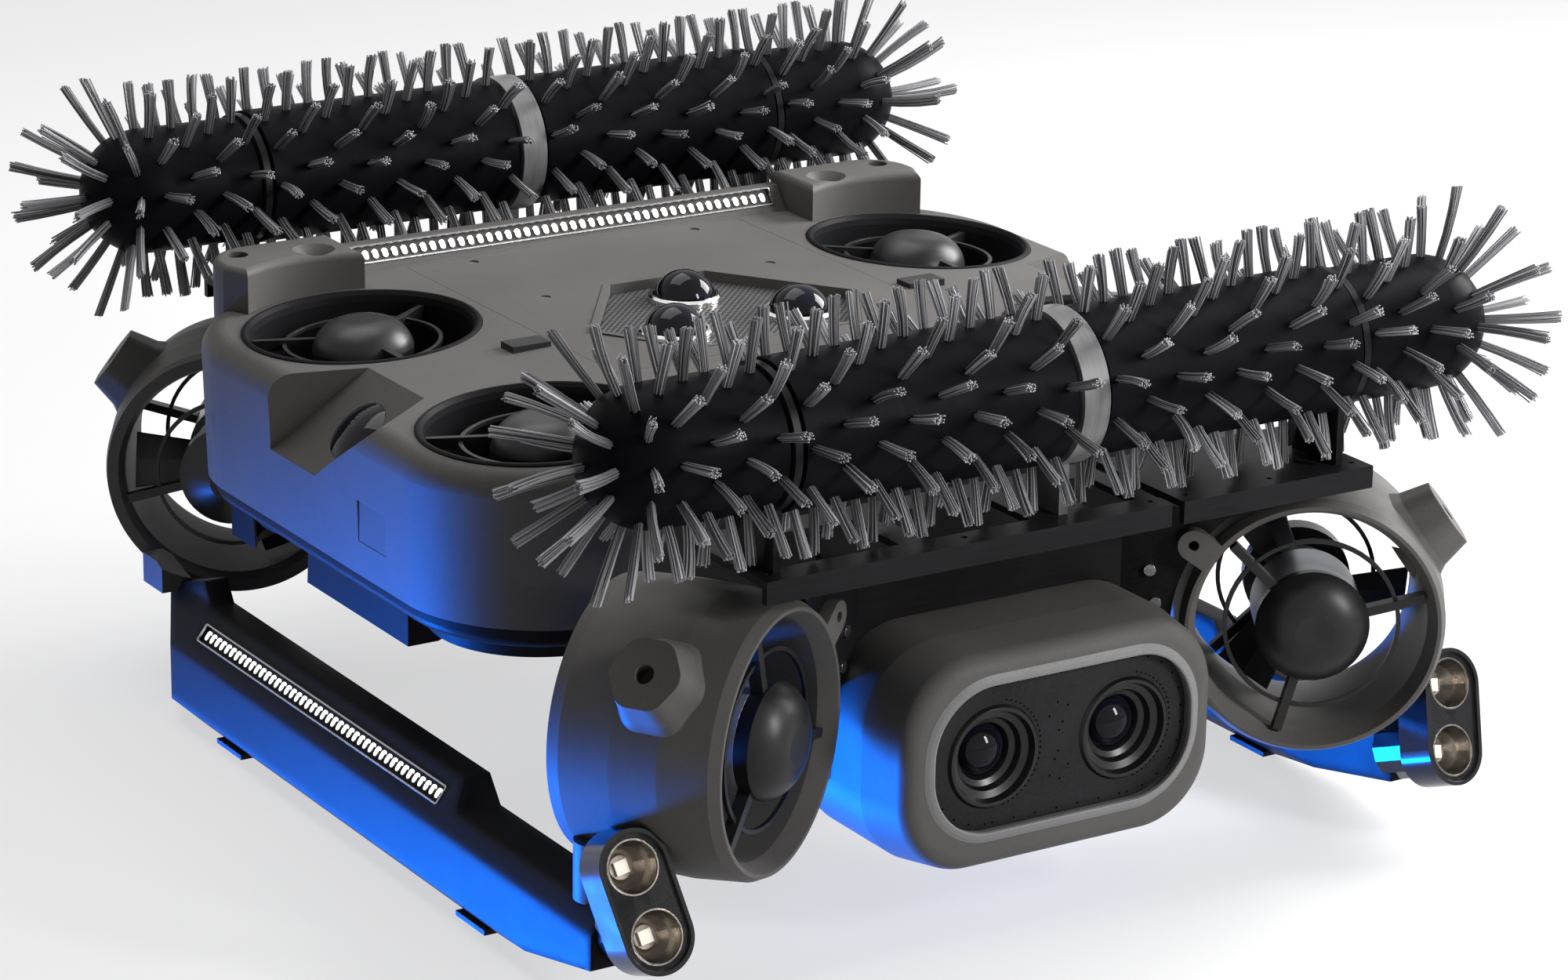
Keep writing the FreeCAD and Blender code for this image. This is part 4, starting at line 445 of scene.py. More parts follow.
def black_gloss(name, colour=(0.0055, 0.0055, 0.0065), roughness=0.11):
    """Polished black plastic with a clear coat."""
    finish = Finish(name, Specular_IOR_Level=0.3)
    smear = finish.cloud(60.0, detail=5.0)
    finish.colour(finish.ramp(smear, (0.3, colour), (0.75, shaded(colour, 1.6))))
    finish.gloss(finish.span(smear, roughness, roughness + 0.10))
    finish.soft_edges(0.4 * MM)
    return finish.done()


def mirror_bowl(name, colour=(0.80, 0.78, 0.75), roughness=0.07):
    """Plated mirror of the lamp bowls and the bright rings."""
    finish = Finish(name, Metallic=1.0)
    haze = finish.cloud(120.0, detail=4.0)
    finish.colour(finish.ramp(haze, (0.3, shaded(colour, 0.85)), (0.7, shaded(colour, 1.08))))
    finish.gloss(finish.span(haze, roughness, roughness + 0.12))
    finish.soft_edges(0.3 * MM)
    return finish.done()


def lit_chip(name, colour=(1.0, 1.0, 1.0), glow=1.5, wall=(0.02, 0.02, 0.022)):
    """A light chip: its raised face is lit and its side walls are dim."""
    finish = Finish(name, Roughness=0.35, Emission_Strength=glow)
    patch = finish.cloud(500.0, detail=2.0)
    tone = finish.ramp(patch, (0.3, shaded(colour, 0.86)), (0.65, colour))
    facing = finish.add("ShaderNodeNewGeometry").outputs["Normal"]
    upward = finish.add("ShaderNodeSeparateXYZ", Vector=facing).outputs["Z"]
    tone = finish.blend(finish.span(upward, 0.0, 1.0, 0.12, 0.2), wall, tone)
    finish.colour(tone)
    finish.tree.links.new(tone, finish.shader.inputs["Emission Color"])
    return finish.done()


def blade_plastic(name, colour=(0.0085, 0.0085, 0.009)):
    """Black glass-filled plastic of propellers and guards, with a satin shine on its rods."""
    finish = Finish(name, Specular_IOR_Level=0.22)
    flow = finish.cloud(90.0, detail=5.0, stretch=(0.5, 1.0, 1.0))
    finish.colour(finish.ramp(flow, (0.3, colour), (0.75, shaded(colour, 1.7))))
    finish.gloss(finish.span(flow, 0.30, 0.44))
    finish.soft_edges(0.6 * MM)
    return finish.done()


def perforated_sheet(name, colour=(0.10, 0.10, 0.104), pitch=6.0 * MM):
    """Dark sheet with small round holes in staggered rows, drawn from the place on the sheet; the
    holes are painted near black, painted shade for the dark inside behind them.

    Two square grids of dots, one shifted by half a pitch both ways, give the staggered rows.
    """
    finish = Finish(name, Specular_IOR_Level=0.5, Metallic=0.4)
    dots = None
    for shift in (0.0, 0.5):
        scaled = finish.add(
            "ShaderNodeMapping", Vector=finish.place,
            Scale=(1.0 / pitch, 1.0 / pitch, 0.0), Location=(shift, shift, 0.0))
        cell = finish.add(
            "ShaderNodeVectorMath", operation="FRACTION", Vector=scaled.outputs["Vector"])
        centred = finish.add(
            "ShaderNodeMapping", Vector=cell.outputs["Vector"], Location=(-0.5, -0.5, 0.0),
            Scale=(1.0, 1.0, 0.0))
        reach = finish.add(
            "ShaderNodeVectorMath", operation="LENGTH", Vector=centred.outputs["Vector"])
        hole = finish.span(reach.outputs["Value"], 1.0, 0.0, 0.27, 0.31)
        dots = hole if dots is None else finish.larger(dots, hole)
    # Painted shade: the holes are coloured near black for the shade inside them; their pattern is
    # the sheet's own.
    finish.colour(finish.blend(dots, colour, (0.002, 0.002, 0.002)))
    finish.gloss(finish.span(dots, 0.35, 0.8))
    finish.relief(dots, -0.8 * MM, 0.8)
    return finish.done()


def cover(node_names, material):
    """Gives CAD nodes this material in every one of their slots."""
    for name in node_names:
        mesh = frame["nodes"][name].data
        if not mesh.materials:
            mesh.materials.append(material)
        for index in range(len(mesh.materials)):
            mesh.materials[index] = material


# Meshes

def new_piece(name, points, faces, body, slot, material):
    """A flat-shaded mesh piece of these points and faces that rides on a body."""
    mesh = bpy.data.meshes.new(name)
    mesh.from_pydata(np.asarray(points).reshape(-1, 3), [], np.asarray(faces))
    mesh.materials.append(material)
    mesh.update()
    piece = bpy.data.objects.new(name, mesh)
    bpy.context.scene.collection.objects.link(piece)
    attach(piece, body)
    return piece


def node_points(name):
    """All corners of a CAD node as an array with a row for each."""
    mesh = frame["nodes"][name].data
    points = np.zeros(len(mesh.vertices) * 3)
    mesh.vertices.foreach_get("co", points)
    return points.reshape(-1, 3)


def brush_reach(word, axis, cap):
    """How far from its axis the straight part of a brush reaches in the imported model."""
    points = node_points(word + "_brush_tufts") - axis
    straight = points[np.abs(points[:, 0]) < cap - CAP_MARGIN]
    return np.hypot(straight[:, 1], straight[:, 2]).max()


def bundle_roots(word):
    """A brush's axis, and of each bundle its root, outward and cross ways, length and reach.

    Rows wind round the two cores of each half: a bundle's turn is its row's share of a circle plus
    the twist times its column. Over the rounded end, rings of bundles stand at a fixed rise.
    """
    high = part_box(word + "_brush_tufts")[1]
    mid = np.abs(node_points(word + "_brush_core_mid")[:, 0])
    mid_low, mid_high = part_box(word + "_brush_core_mid")
    mid_radius = (mid_high.z - mid_low.z) / 2
    end_low, end_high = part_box(word + "_brush_core_end")
    end_radius = (end_high.z - end_low.z) / 2
    end_start = np.abs(node_points(word + "_brush_core_end")[:, 0]).min()
    cap = end_high.x - end_radius
    axis = np.array([0.0, (end_low.y + end_high.y) / 2, (end_low.z + end_high.z) / 2])
    tip = brush_reach(word, axis, cap)
    bands = (
        (mid.min() + BUNDLE_EDGE, mid.max() - BUNDLE_EDGE, MID_COLUMNS, mid_radius),
        (end_start + BUNDLE_EDGE, cap, END_COLUMNS, end_radius),
    )
    groups = []
    for side in (-1, 1):
        for first, last, columns, radius in bands:
            grids = np.meshgrid(np.arange(columns), np.arange(BUNDLE_ROWS))
            column, row = [grid.ravel() for grid in grids]
            turn = 2 * math.pi * row / BUNDLE_ROWS + BUNDLE_TWIST * column * side
            x = (first + (last - first) * column / (columns - 1)) * side
            out = np.stack([np.zeros(len(turn)), np.cos(turn), np.sin(turn)], axis=1)
            groups.append((
                axis + out * radius + np.outer(x, ACROSS), out, np.tile(ACROSS, (len(turn), 1)),
                np.full(len(turn), tip - radius), np.full(len(turn), tip)))
        for rise, count in CAP_RINGS:
            turn = 2 * math.pi * np.arange(count) / count + math.radians(rise)
            flat = math.cos(math.radians(rise))
            up = np.full(count, math.sin(math.radians(rise)) * side)
            out = np.stack([up, flat * np.cos(turn), flat * np.sin(turn)], axis=1)
            groups.append((
                axis + ACROSS * cap * side + out * end_radius, out,
                np.stack([np.zeros(count), -np.sin(turn), np.cos(turn)], axis=1),
                np.full(count, high.x - cap - end_radius), np.full(count, high.z - axis[2])))
    return axis, [np.concatenate(part) for part in zip(*groups)]


def filament_lines(source, settings, lengths):
    """The middle lines of all filaments: steps across their bundle's two ways, and out along it.

    A filament starts at a point of a sunflower pattern in the bundle's oval root and ends at the
    same point of the wider oval tip. Between them its middle moves by a power of the reach, and
    the bundle's lean adds its square, so that filaments stay together at the root and splay at
    the tip.
    """
    bundles, count = len(lengths), settings.filaments
    index = np.arange(count)
    spread = np.sqrt((index + 0.5) / count)
    swing = index * math.pi * (3.0 - math.sqrt(5.0))
    oval = np.stack([spread * np.cos(swing), spread * np.sin(swing) * settings.flatness], axis=1)
    flower = oval[None] + source.normal(0.0, FILAMENT_SCATTER, (bundles, count, 2))
    tips = flower * (1.0 + source.normal(0.0, TIP_SCATTER, (bundles, count, 1)))
    lean = source.normal(0.0, settings.lean, (bundles, 1, 2))
    share = 1.0 - settings.cut * source.random((bundles, count)) ** 2
    reach = np.linspace(0.0, 1.0, FILAMENT_RINGS)
    start = flower * settings.root_width / 2
    finish = tips * settings.tip_width / 2
    bow = reach[None, None, :, None] ** BOW_POWER
    square = (reach ** 2)[None, None, :, None]
    across = start[:, :, None] * (1 - bow) + finish[:, :, None] * bow
    across = across + lean[:, :, None] * square * lengths[:, None, None, None]
    along = (lengths[:, None] * share)[:, :, None] * reach - FILAMENT_SUNK * (1 - reach)
    return across, along, reach


def bristle_mesh(word, settings, material):
    """All bundles of one brush as one mesh.

    A filament's section is a square whose corners turn round its middle line, and no corner
    stands further from the brush's axis than the brush reaches. Half of its tone is its bundle's.
    """
    axis, (roots, outs, sides, lengths, limits) = bundle_roots(word)
    thirds = np.cross(outs, sides)
    source = np.random.default_rng(settings.seed + len(word))
    bundles, count, corners = len(roots), settings.filaments, FILAMENT_CORNERS
    across, along, reach = filament_lines(source, settings, lengths)
    outs, sides, thirds = outs[:, None, None], sides[:, None, None], thirds[:, None, None]
    middle = roots[:, None, None] + outs * along[..., None]
    middle = middle + sides * across[..., 0:1] + thirds * across[..., 1:2]
    quarter = 2 * math.pi / corners
    angle = source.random((bundles, count))[:, :, None] + np.arange(corners) * quarter
    ring = sides * np.cos(angle)[..., None] + thirds * np.sin(angle)[..., None]
    points = middle[:, :, :, None] + ring[:, :, None] * settings.thickness / 2
    from_axis = points[..., 1:] - axis[1:]
    swing_out = np.hypot(from_axis[..., 0], from_axis[..., 1])
    held = np.minimum(1.0, limits[:, None, None, None] / np.maximum(swing_out, 1.0 * MM))
    points = np.concatenate([points[..., :1], axis[1:] + from_axis * held[..., None]], axis=-1)
    per_filament = FILAMENT_RINGS * corners
    starts = np.arange(bundles * count) * per_filament
    faces = starts[:, None, None] + filament_faces(FILAMENT_RINGS, corners)[None]
    piece = new_piece(
        word + "_bristles", points, faces.reshape(-1, 4), word + "_brush", "bristle", material)
    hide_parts(word + "_brush_tufts")
    bundle_tone = source.normal(0.5, 0.2, (bundles, 1)) * 0.5
    tone = np.clip(bundle_tone + source.random((bundles, count)) * 0.55, 0, 1)
    add_values(piece, "filament_tone", np.repeat(tone.ravel(), per_filament))
    # The reach along each filament is what the material darkens the roots by, as painted shade.
    add_values(piece, "filament_reach", np.tile(np.repeat(reach, corners), bundles * count))


def filament_faces(rings, corners):
    """Faces of one filament: a tube of four-sided rings, closed at its root and its tip."""
    ring = np.arange(rings - 1)[:, None] * corners
    corner = np.arange(corners)[None]
    after = (corner + 1) % corners
    above = ring + corners
    tube = np.stack([ring + corner, ring + after, above + after, above + corner], axis=-1)
    root = np.arange(corners)[None, ::-1]
    tip = np.arange(corners)[None] + (rings - 1) * corners
    return np.concatenate([tube.reshape(-1, 4), root, tip])


def add_values(piece, name, values):
    """Stores one number for each corner of a piece, for its material to read."""
    layer = piece.data.attributes.new(name, "FLOAT", "POINT")
    layer.data.foreach_set("value", np.asarray(values, dtype=np.float32))


def level_frame(points):
    """The middle, long way, cross way and outward way of a flat group of points.

    The ways are the principal axes of the points. The long one is the one of most spread, and the
    outward one, of least spread, is turned so that it points upwards or, when level, forwards.
    """
    middle = (points.min(axis=0) + points.max(axis=0)) / 2
    axes = np.linalg.svd(points - points.mean(axis=0), full_matrices=False)[2]
    out = axes[2] if axes[2][2] > 0 else -axes[2]
    return middle, axes[0], np.cross(out, axes[0]), out


def circle(radius, steps):
    """Points round a circle, run anticlockwise."""
    turn = np.linspace(0.0, 2 * math.pi, steps, endpoint=False)
    return np.stack([np.cos(turn), np.sin(turn)], axis=1) * radius


def rounded_box(half_length, half_width, radius, steps):
    """Points round a box, run anticlockwise, with a quarter circle at each corner."""
    turn = np.linspace(0.0, math.pi / 2, steps)
    corner = np.stack([np.cos(turn), np.sin(turn)], axis=1) * radius
    inner = np.array([half_length - radius, half_width - radius])
    quarters = [corner + inner]
    for _ in range(3):
        inner = inner * (-1.0, 1.0) if inner[0] * inner[1] > 0 else inner * (1.0, -1.0)
        corner = np.stack([-corner[:, 1], corner[:, 0]], axis=1)
        quarters.append(corner + inner)
    return np.concatenate(quarters)


def raised_shapes(outline, places, span, shoulder):
    """Closed prisms of one outline at many places, as points (u, v, w) and faces.

    The outline stands at w = low and again below w = high by the shoulder's share of the height,
    and at w = high it is drawn in by the same share; fans of faces close both ends.
    """
    count = len(outline)
    low, high = span
    inner = outline * (1.0 - shoulder)
    rings = [(outline, low), (outline, high - (high - low) * shoulder), (inner, high)]
    walls = [np.column_stack([ring, np.full(count, level)]) for ring, level in rings]
    ends = np.array([[0.0, 0.0, low], [0.0, 0.0, high]])
    shape = np.concatenate([*walls, ends])
    step = np.arange(count)
    after = (step + 1) % count
    bottom, top = np.full(count, 3 * count), np.full(count, 3 * count + 1)
    faces = []
    for ring in (0, 1):
        base = ring * count
        faces.append(np.stack([base + step, base + after, base + count + after], axis=1))
        faces.append(np.stack([base + step, base + count + after, base + count + step], axis=1))
    faces.append(np.stack([after, step, bottom], axis=1))
    faces.append(np.stack([2 * count + step, 2 * count + after, top], axis=1))
    faces = np.concatenate(faces)
    moved = shape[None] + np.column_stack([places, np.zeros(len(places))])[:, None]
    starts = np.arange(len(places)) * len(shape)
    return moved.reshape(-1, 3), (starts[:, None, None] + faces[None]).reshape(-1, 3)


def swept_ring(outline, profile):
    """A closed band: the profile's (outward, upward) steps carried round a closed outline.

    The outward way at each outline point is its edge turned by a right angle, averaged with the
    edge before it.
    """
    ahead = np.roll(outline, -1, axis=0) - outline
    behind = outline - np.roll(outline, 1, axis=0)
    edge = sum(way / np.linalg.norm(way, axis=1)[:, None] for way in (ahead, behind))
    normal = np.column_stack([edge[:, 1], -edge[:, 0]])
    normal /= np.linalg.norm(normal, axis=1)[:, None]
    flat = outline[:, None] + normal[:, None] * profile[None, :, 0:1]
    rise = np.broadcast_to(profile[None, :, 1:2], (len(outline), len(profile), 1))
    points = np.concatenate([flat, rise], axis=2).reshape(-1, 3)
    width = len(profile)
    grids = np.meshgrid(np.arange(len(outline)), np.arange(width))
    along, step = [grid.ravel() for grid in grids]
    next_along = (along + 1) % len(outline)
    next_step = (step + 1) % width
    faces = np.stack([
        along * width + step, next_along * width + step,
        next_along * width + next_step, along * width + next_step], axis=1)
    return points, faces


def laid(points, place):
    """Points (u, v, w) brought to their place: along, across and out from its middle."""
    middle, along, across, out = place
    return middle + points @ np.stack([along, across, out])


def joined(parts):
    """Several pairs of points and faces as one pair."""
    starts = np.cumsum([0] + [len(points) for points, _ in parts[:-1]])
    points = np.concatenate([points for points, _ in parts])
    return points, np.concatenate([faces + start for (_, faces), start in zip(parts, starts)])


def repeated(shape, places):
    """One shape's points and faces, laid at each of several places."""
    points, faces = shape
    return joined([(laid(points, place), faces) for place in places])


def light_strips():
    """The places of the three rows of light chips: on the bar, and on the left and right skid."""
    points = node_points("led_lights")
    bar = points[:, 1] > BAR_BEHIND
    skid = ~bar & (points[:, 1] >= LAMPS_BEFORE)
    left = points[:, 0] < 0
    return [level_frame(points[group]) for group in (bar, skid & left, skid & ~left)]


def lamp_places():
    """The places of the four lamp bowls' mouths: middle, long way, cross way and outward way."""
    glass = node_points("lamp_covers")
    places = []
    for side in (-1, 1):
        middle, along, across, out = level_frame(glass[glass[:, 0] * side > 0])
        if out[1] > 0:
            out, across = -out, -across
        for step in (-1, 1):
            places.append((middle + along * step * BOWL_STEP, along, across, out))
    return places


def face_pins(half_width, half_height):
    """Small blind pins on the face plate: round its edge, beside the lenses and in arcs about them.

    The edge pins follow the plate's rounded outline drawn in by the inset, and each lens's pins
    stand at even turns on the right side of its ring.
    """
    inner_width, inner_height = half_width - PIN_INSET, half_height - PIN_INSET
    edge = rounded_box(inner_width, inner_height, FACE_CORNER - PIN_INSET, EDGE_PIN_STEPS)
    across = np.linspace(-0.5, 0.5, TOP_PIN_COUNT)[:, None] * (half_width, 0.0)
    places = np.concatenate([
        edge, across + (0.0, inner_height), across - (0.0, inner_height),
        MIDDLE_PINS, -MIDDLE_PINS])
    dot = circle(EDGE_PIN_RADIUS, PIN_CORNERS)
    parts = [raised_shapes(dot, places, PIN_SPAN, PIN_SHOULDER)]
    dot = circle(LENS_PIN_RADIUS, PIN_CORNERS)
    turn = np.linspace(-LENS_PIN_TURN, LENS_PIN_TURN, LENS_PIN_COUNT)
    arc = np.stack([np.cos(turn), np.sin(turn)], axis=1) * LENS_PIN_RING
    for side in (-1, 1):
        parts.append(raised_shapes(dot, arc + (LENS_STEP * side, 0.0), PIN_SPAN, PIN_SHOULDER))
    return joined(parts)


def trim_face():
    """The face plate's pins, and the lip that stands round its edge, pale grey as a painted
    highlight of the light its edge catches.
    """
    low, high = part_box("camera_faceplate")
    half_width, half_height = (high.x - low.x) / 2, (high.z - low.z) / 2
    front = np.array([(low.x + high.x) / 2, low.y, (low.z + high.z) / 2])
    place = (front, ACROSS, UP, AHEAD)
    points, faces = face_pins(half_width, half_height)
    new_piece("faceplate_pins", laid(points, place), faces, "chassis", "lens_black",
              moulded_rubber("pin_black", (0.0015, 0.0015, 0.0015), 0.0))
    outline = rounded_box(half_width, half_height, FACE_CORNER, LIP_STEPS)
    points, faces = swept_ring(outline, LIP_PROFILE)
    # Painted highlight: the lip is a lighter grey than the shell, standing for the light caught
    # along the plate's edge.
    new_piece("camera_rim", laid(points, place), faces, "chassis", "shell_grey",
              moulded_shell("pale_rim", (0.17, 0.168, 0.17), 0.4))


# Operators, one for each group of pieces

class ROBOT_OT_dress_shells(Operator):
    """Gives the shells, deck, posts, shrouds and skids their moulded finish"""

    bl_idname = "robot.dress_shells"
    bl_label = "Dress shells"

    def execute(self, context):
        colours = context.scene.robot_finish
        grey = moulded_shell("warm_grey_shell", colours.shell)
        dark = moulded_shell("dark_tray", colours.tray, roughness=0.46, gloss=0.03)
        rounded = moulded_shell(
            "rounded_skid", colours.tray, roughness=0.44, gloss=0.04, edges=12.0 * MM)
        corners = ("front_left", "front_right", "rear_left", "rear_right")
        cover(["upper_shell", "deck_panel", "sensor_bezel", "rear_posts", "light_bar"], grey)
        cover(["camera_housing", *("shroud_" + corner for corner in corners)], grey)
        cover(["lower_shell", "belly_pan"], dark)
        cover(["skid_left", "skid_right"], rounded)
        cover(["lift_duct_" + corner for corner in corners], dark)
        cover(["rubber_pads"], moulded_rubber("pad_rubber"))
        return {"FINISHED"}


class ROBOT_OT_dress_frames(Operator):
    """Gives the frames, bulkheads, plates and fasteners their metal finishes"""

    bl_idname = "robot.dress_frames"
    bl_label = "Dress frames"

    def execute(self, context):
        plate = anodised_plate("black_anodised", context.scene.robot_finish.plate)
        cover(["front_bulkhead", "rear_bulkhead", "side_plates", "chassis_plate"], plate)
        cover(["front_frame_main", "front_frame_end", "rear_frame", "pressure_bottles"], plate)
        cover(["fasteners"], bare_steel("fastener_steel"))
        return {"FINISHED"}


class ROBOT_OT_dress_sensors(Operator):
    """Finishes the sensor grille with its rings and domes, and the side lenses"""

    bl_idname = "robot.dress_sensors"
    bl_label = "Dress sensors"

    def execute(self, context):
        cover(["sensor_grille"], perforated_sheet("perforated_grille"))
        cover(["sensor_rings"], mirror_bowl("sensor_ring_plate"))
        cover(["sensor_domes", "side_lenses"], dark_glass("dome_glass"))
        return {"FINISHED"}


class ROBOT_OT_dress_cameras(Operator):
    """Finishes the camera face plate, its lens barrels and glass domes"""

    bl_idname = "robot.dress_cameras"
    bl_label = "Dress cameras"

    def execute(self, context):
        face = anodised_plate("matte_face_plate", (0.015, 0.015, 0.016), along=(1.0, 1.0, 1.0))
        cover(["camera_faceplate"], face)
        trim_face()
        cover(["lens_barrels"], black_gloss("barrel_gloss", (0.003, 0.003, 0.0035), 0.26))
        cover(["lens_domes"], dark_glass("lens_glass"))
        return {"FINISHED"}


class ROBOT_OT_dress_thrusters(Operator):
    """Finishes the motors, guards and propellers of all eight thrusters"""

    bl_idname = "robot.dress_thrusters"
    bl_label = "Dress thrusters"

    def execute(self, context):
        blade = blade_plastic("blade_plastic")
        cover([name for name in frame["nodes"] if "_prop_" in name], blade)
        cover(["lift_guards", "thruster_guards"], blade)
        cover(["thruster_motors"], blasted_can("motor_can", (0.42, 0.43, 0.45)))
        return {"FINISHED"}


class ROBOT_OT_make_lights(Operator):
    """Sets the rows of light chips with their trims, the lamps' own chips and their bright rims"""

    bl_idname = "robot.make_lights"
    bl_label = "Make lights"

    def execute(self, context):
        strips, bowls = light_strips(), lamp_places()
        row = (np.arange(CHIP_COUNT) - (CHIP_COUNT - 1) / 2) * CHIP_PITCH
        lozenge = rounded_box(CHIP_HALF_LENGTH, CHIP_HALF_WIDTH, CHIP_CORNER, CORNER_STEPS)
        chips = raised_shapes(
            lozenge, np.column_stack([row, np.zeros(CHIP_COUNT)]), CHIP_SPAN, CHIP_SHOULDER)
        piece = new_piece(
            "light_chips", *repeated(chips, strips), "chassis", "led_white", lit_chip("white_chip"))
        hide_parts("led_lights")
        half_strip = CHIP_PITCH * CHIP_COUNT / 2 + TRIM_END
        outline = rounded_box(half_strip, TRIM_HALF_WIDTH, TRIM_CORNER, CORNER_STEPS)
        new_piece("light_trims", *repeated(swept_ring(outline, TRIM_PROFILE), strips), "chassis",
                  "steel", bare_steel("trim_steel", (0.30, 0.30, 0.31)))
        corners = np.array([(-1.0, -1.0), (1.0, -1.0), (1.0, 1.0), (-1.0, 1.0)])
        chip = raised_shapes(
            corners * LAMP_CHIP_HALF, np.zeros((1, 2)), LAMP_CHIP_SPAN, LAMP_CHIP_SHOULDER)
        piece = new_piece("lamp_chips", *repeated(chip, bowls), "chassis", "led_white",
                          lit_chip("cream_chip", (0.86, 0.80, 0.68), 0.6, (0.25, 0.22, 0.18)))
        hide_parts("led_lights")
        rim = swept_ring(circle(MOUTH_RADIUS, MOUTH_STEPS), MOUTH_PROFILE)
        new_piece("lamp_rims", *repeated(rim, bowls), "chassis", "chrome_bright",
                  mirror_bowl("rim_plate", (0.62, 0.61, 0.60)))
        cover(["lamp_housings"], black_gloss("lamp_housing_gloss"))
        cover(["lamp_reflectors"], mirror_bowl("lamp_mirror", (0.25, 0.22, 0.19), 0.2))
        cover(["lamp_covers"], clear_glass("lamp_glass"))
        return {"FINISHED"}


class ROBOT_OT_make_brushes(Operator):
    """Finishes the two brush cores and plants their bristle bundles"""

    bl_idname = "robot.make_brushes"
    bl_label = "Make brushes"

    def execute(self, context):
        colours = context.scene.robot_finish
        core = brush_core("core_sheen", colours.core)
        strands = nylon("nylon_filament", colours.bristle)
        for word in ("front", "rear"):
            cover([word + "_brush_core_mid", word + "_brush_core_end"], core)
            cover([word + "_brush_shaft"], bare_steel(word + "_shaft_steel"))
            bristle_mesh(word, context.scene.robot_bristles, strands)
        cover(["drive_rings"], satin_ring("drive_ring_grey", (0.12, 0.12, 0.122)))
        return {"FINISHED"}


# Studio

CAMERA_PLACE = Vector((-1.8956, -3.0311, 1.3929))
CAMERA_AIM = Vector((0.5096, 0.8014, -0.3132))
CAMERA_ROLL = math.radians(0.94)
CAMERA_LENS = 109.44
CAMERA_SENSOR = 36.0
CAMERA_REACH = 200.0
FLOOR_HALF = 60.0
FLOOR_DROP = 0.5 * MM
FLOOR_WHITE = 0.62

# Lamps: name, the setting of its power, place, what it faces, and size
LAMPS = (
    ("key_lamp", "key_power", (2.7, -0.2, 1.7), (0.0, 0.0, 0.25), (1.6, 1.6)),
    ("side_lamp", "side_power", (1.1, -2.4, 1.3), (0.1, -0.3, 0.15), (0.4, 1.0)),
    ("top_lamp", "top_power", (-0.2, 0.9, 3.0), (0.0, 0.0, 0.3), (2.6, 2.0)),
)
RIM_LAMP = ("rim_lamp", "rim_power", (-1.25, 1.1, -0.95), (-0.28, -0.05, -0.06), (1.2, 0.4))
RIM_COLOUR = (0.0, 0.16, 1.0)
RIM_SPREAD = math.radians(26.0)
RIM_SPARED_WORDS = (
    "brush", "bristles", "frame", "bulkhead", "side_plates", "drive_rings", "faceplate", "lens_")


def place_camera():
    """The camera at the photograph's place; its aim, the upright and its roll give its axes."""
    data = bpy.data.cameras.new("studio_camera")
    data.lens = CAMERA_LENS
    data.sensor_width = CAMERA_SENSOR
    data.clip_end = CAMERA_REACH
    camera = bpy.data.objects.new("studio_camera", data)
    aim = CAMERA_AIM.normalized()
    right = aim.cross(Vector((0.0, 0.0, 1.0))).normalized()
    up = right.cross(aim)
    turned_right = right * math.cos(CAMERA_ROLL) + up * math.sin(CAMERA_ROLL)
    turned_up = up * math.cos(CAMERA_ROLL) - right * math.sin(CAMERA_ROLL)
    axes = Matrix((turned_right, turned_up, -aim)).transposed()
    camera.matrix_world = Matrix.Translation(CAMERA_PLACE) @ axes.to_4x4()
    bpy.context.scene.collection.objects.link(camera)
    bpy.context.scene.camera = camera


def add_lamp(settings, name, power, place, target, size):
    """A rectangular lamp that faces the target; its power is read from the setting named."""
    data = bpy.data.lights.new(name, "AREA")
    data.shape = "RECTANGLE"
    data.size, data.size_y = size
    data.energy = getattr(settings, power)
    lamp = bpy.data.objects.new(name, data)
    lamp.location = place
    lamp.rotation_euler = (Vector(target) - Vector(place)).to_track_quat("-Z", "Y").to_euler()
    bpy.context.scene.collection.objects.link(lamp)
    return lamp


def spared_pieces():
    """The brushes, what carries them and the camera face, which the low lamp doesn't light."""
    return [piece for piece in bpy.context.scene.objects
            if any(word in piece.name for word in RIM_SPARED_WORDS)]


def spare_from(lamp, pieces):
    """Leaves these pieces out of what a lamp lights."""
    spared = bpy.data.collections.new(lamp.name + "_spares")
    for piece in pieces:
        spared.objects.link(piece)
    lamp.light_linking.receiver_collection = spared
    for entry in spared.collection_objects:
        entry.light_linking.link_state = "EXCLUDE"


def let_pass(lamp, piece):
    """Lets a lamp's light through a piece that stands in its way."""
    passed = bpy.data.collections.new(lamp.name + "_passes")
    passed.objects.link(piece)
    lamp.light_linking.blocker_collection = passed
    passed.collection_objects[0].light_linking.link_state = "EXCLUDE"


def seen_directly(tree):
    """A value that is 1 where the camera, a mirror or glass sees the surface, and 0 elsewhere."""
    path = tree.nodes.new("ShaderNodeLightPath")
    seen = path.outputs["Is Camera Ray"]
    for label in ("Is Glossy Ray", "Is Transmission Ray"):
        either = tree.nodes.new("ShaderNodeMath")
        either.operation = "MAXIMUM"
        tree.links.new(seen, either.inputs[0])
        tree.links.new(path.outputs[label], either.inputs[1])
        seen = either.outputs["Value"]
    return seen


def pale_floor(settings):
    """Floor material: part lit by the lamps, which keeps the shadow, and part plain white."""
    material = bpy.data.materials.new("pale_floor")
    material.use_nodes = True
    tree = material.node_tree
    tree.nodes.clear()
    lit = tree.nodes.new("ShaderNodeBsdfDiffuse")
    lit.inputs["Color"].default_value = (*settings.floor_colour, 1.0)
    plain = tree.nodes.new("ShaderNodeEmission")
    share = tree.nodes.new("ShaderNodeMath")
    share.operation = "MULTIPLY"
    share.inputs[1].default_value = FLOOR_WHITE
    mix = tree.nodes.new("ShaderNodeMixShader")
    out = tree.nodes.new("ShaderNodeOutputMaterial")
    tree.links.new(seen_directly(tree), share.inputs[0])
    tree.links.new(share.outputs["Value"], mix.inputs["Fac"])
    tree.links.new(lit.outputs["BSDF"], mix.inputs[1])
    tree.links.new(plain.outputs["Emission"], mix.inputs[2])
    tree.links.new(mix.outputs["Shader"], out.inputs["Surface"])
    return material


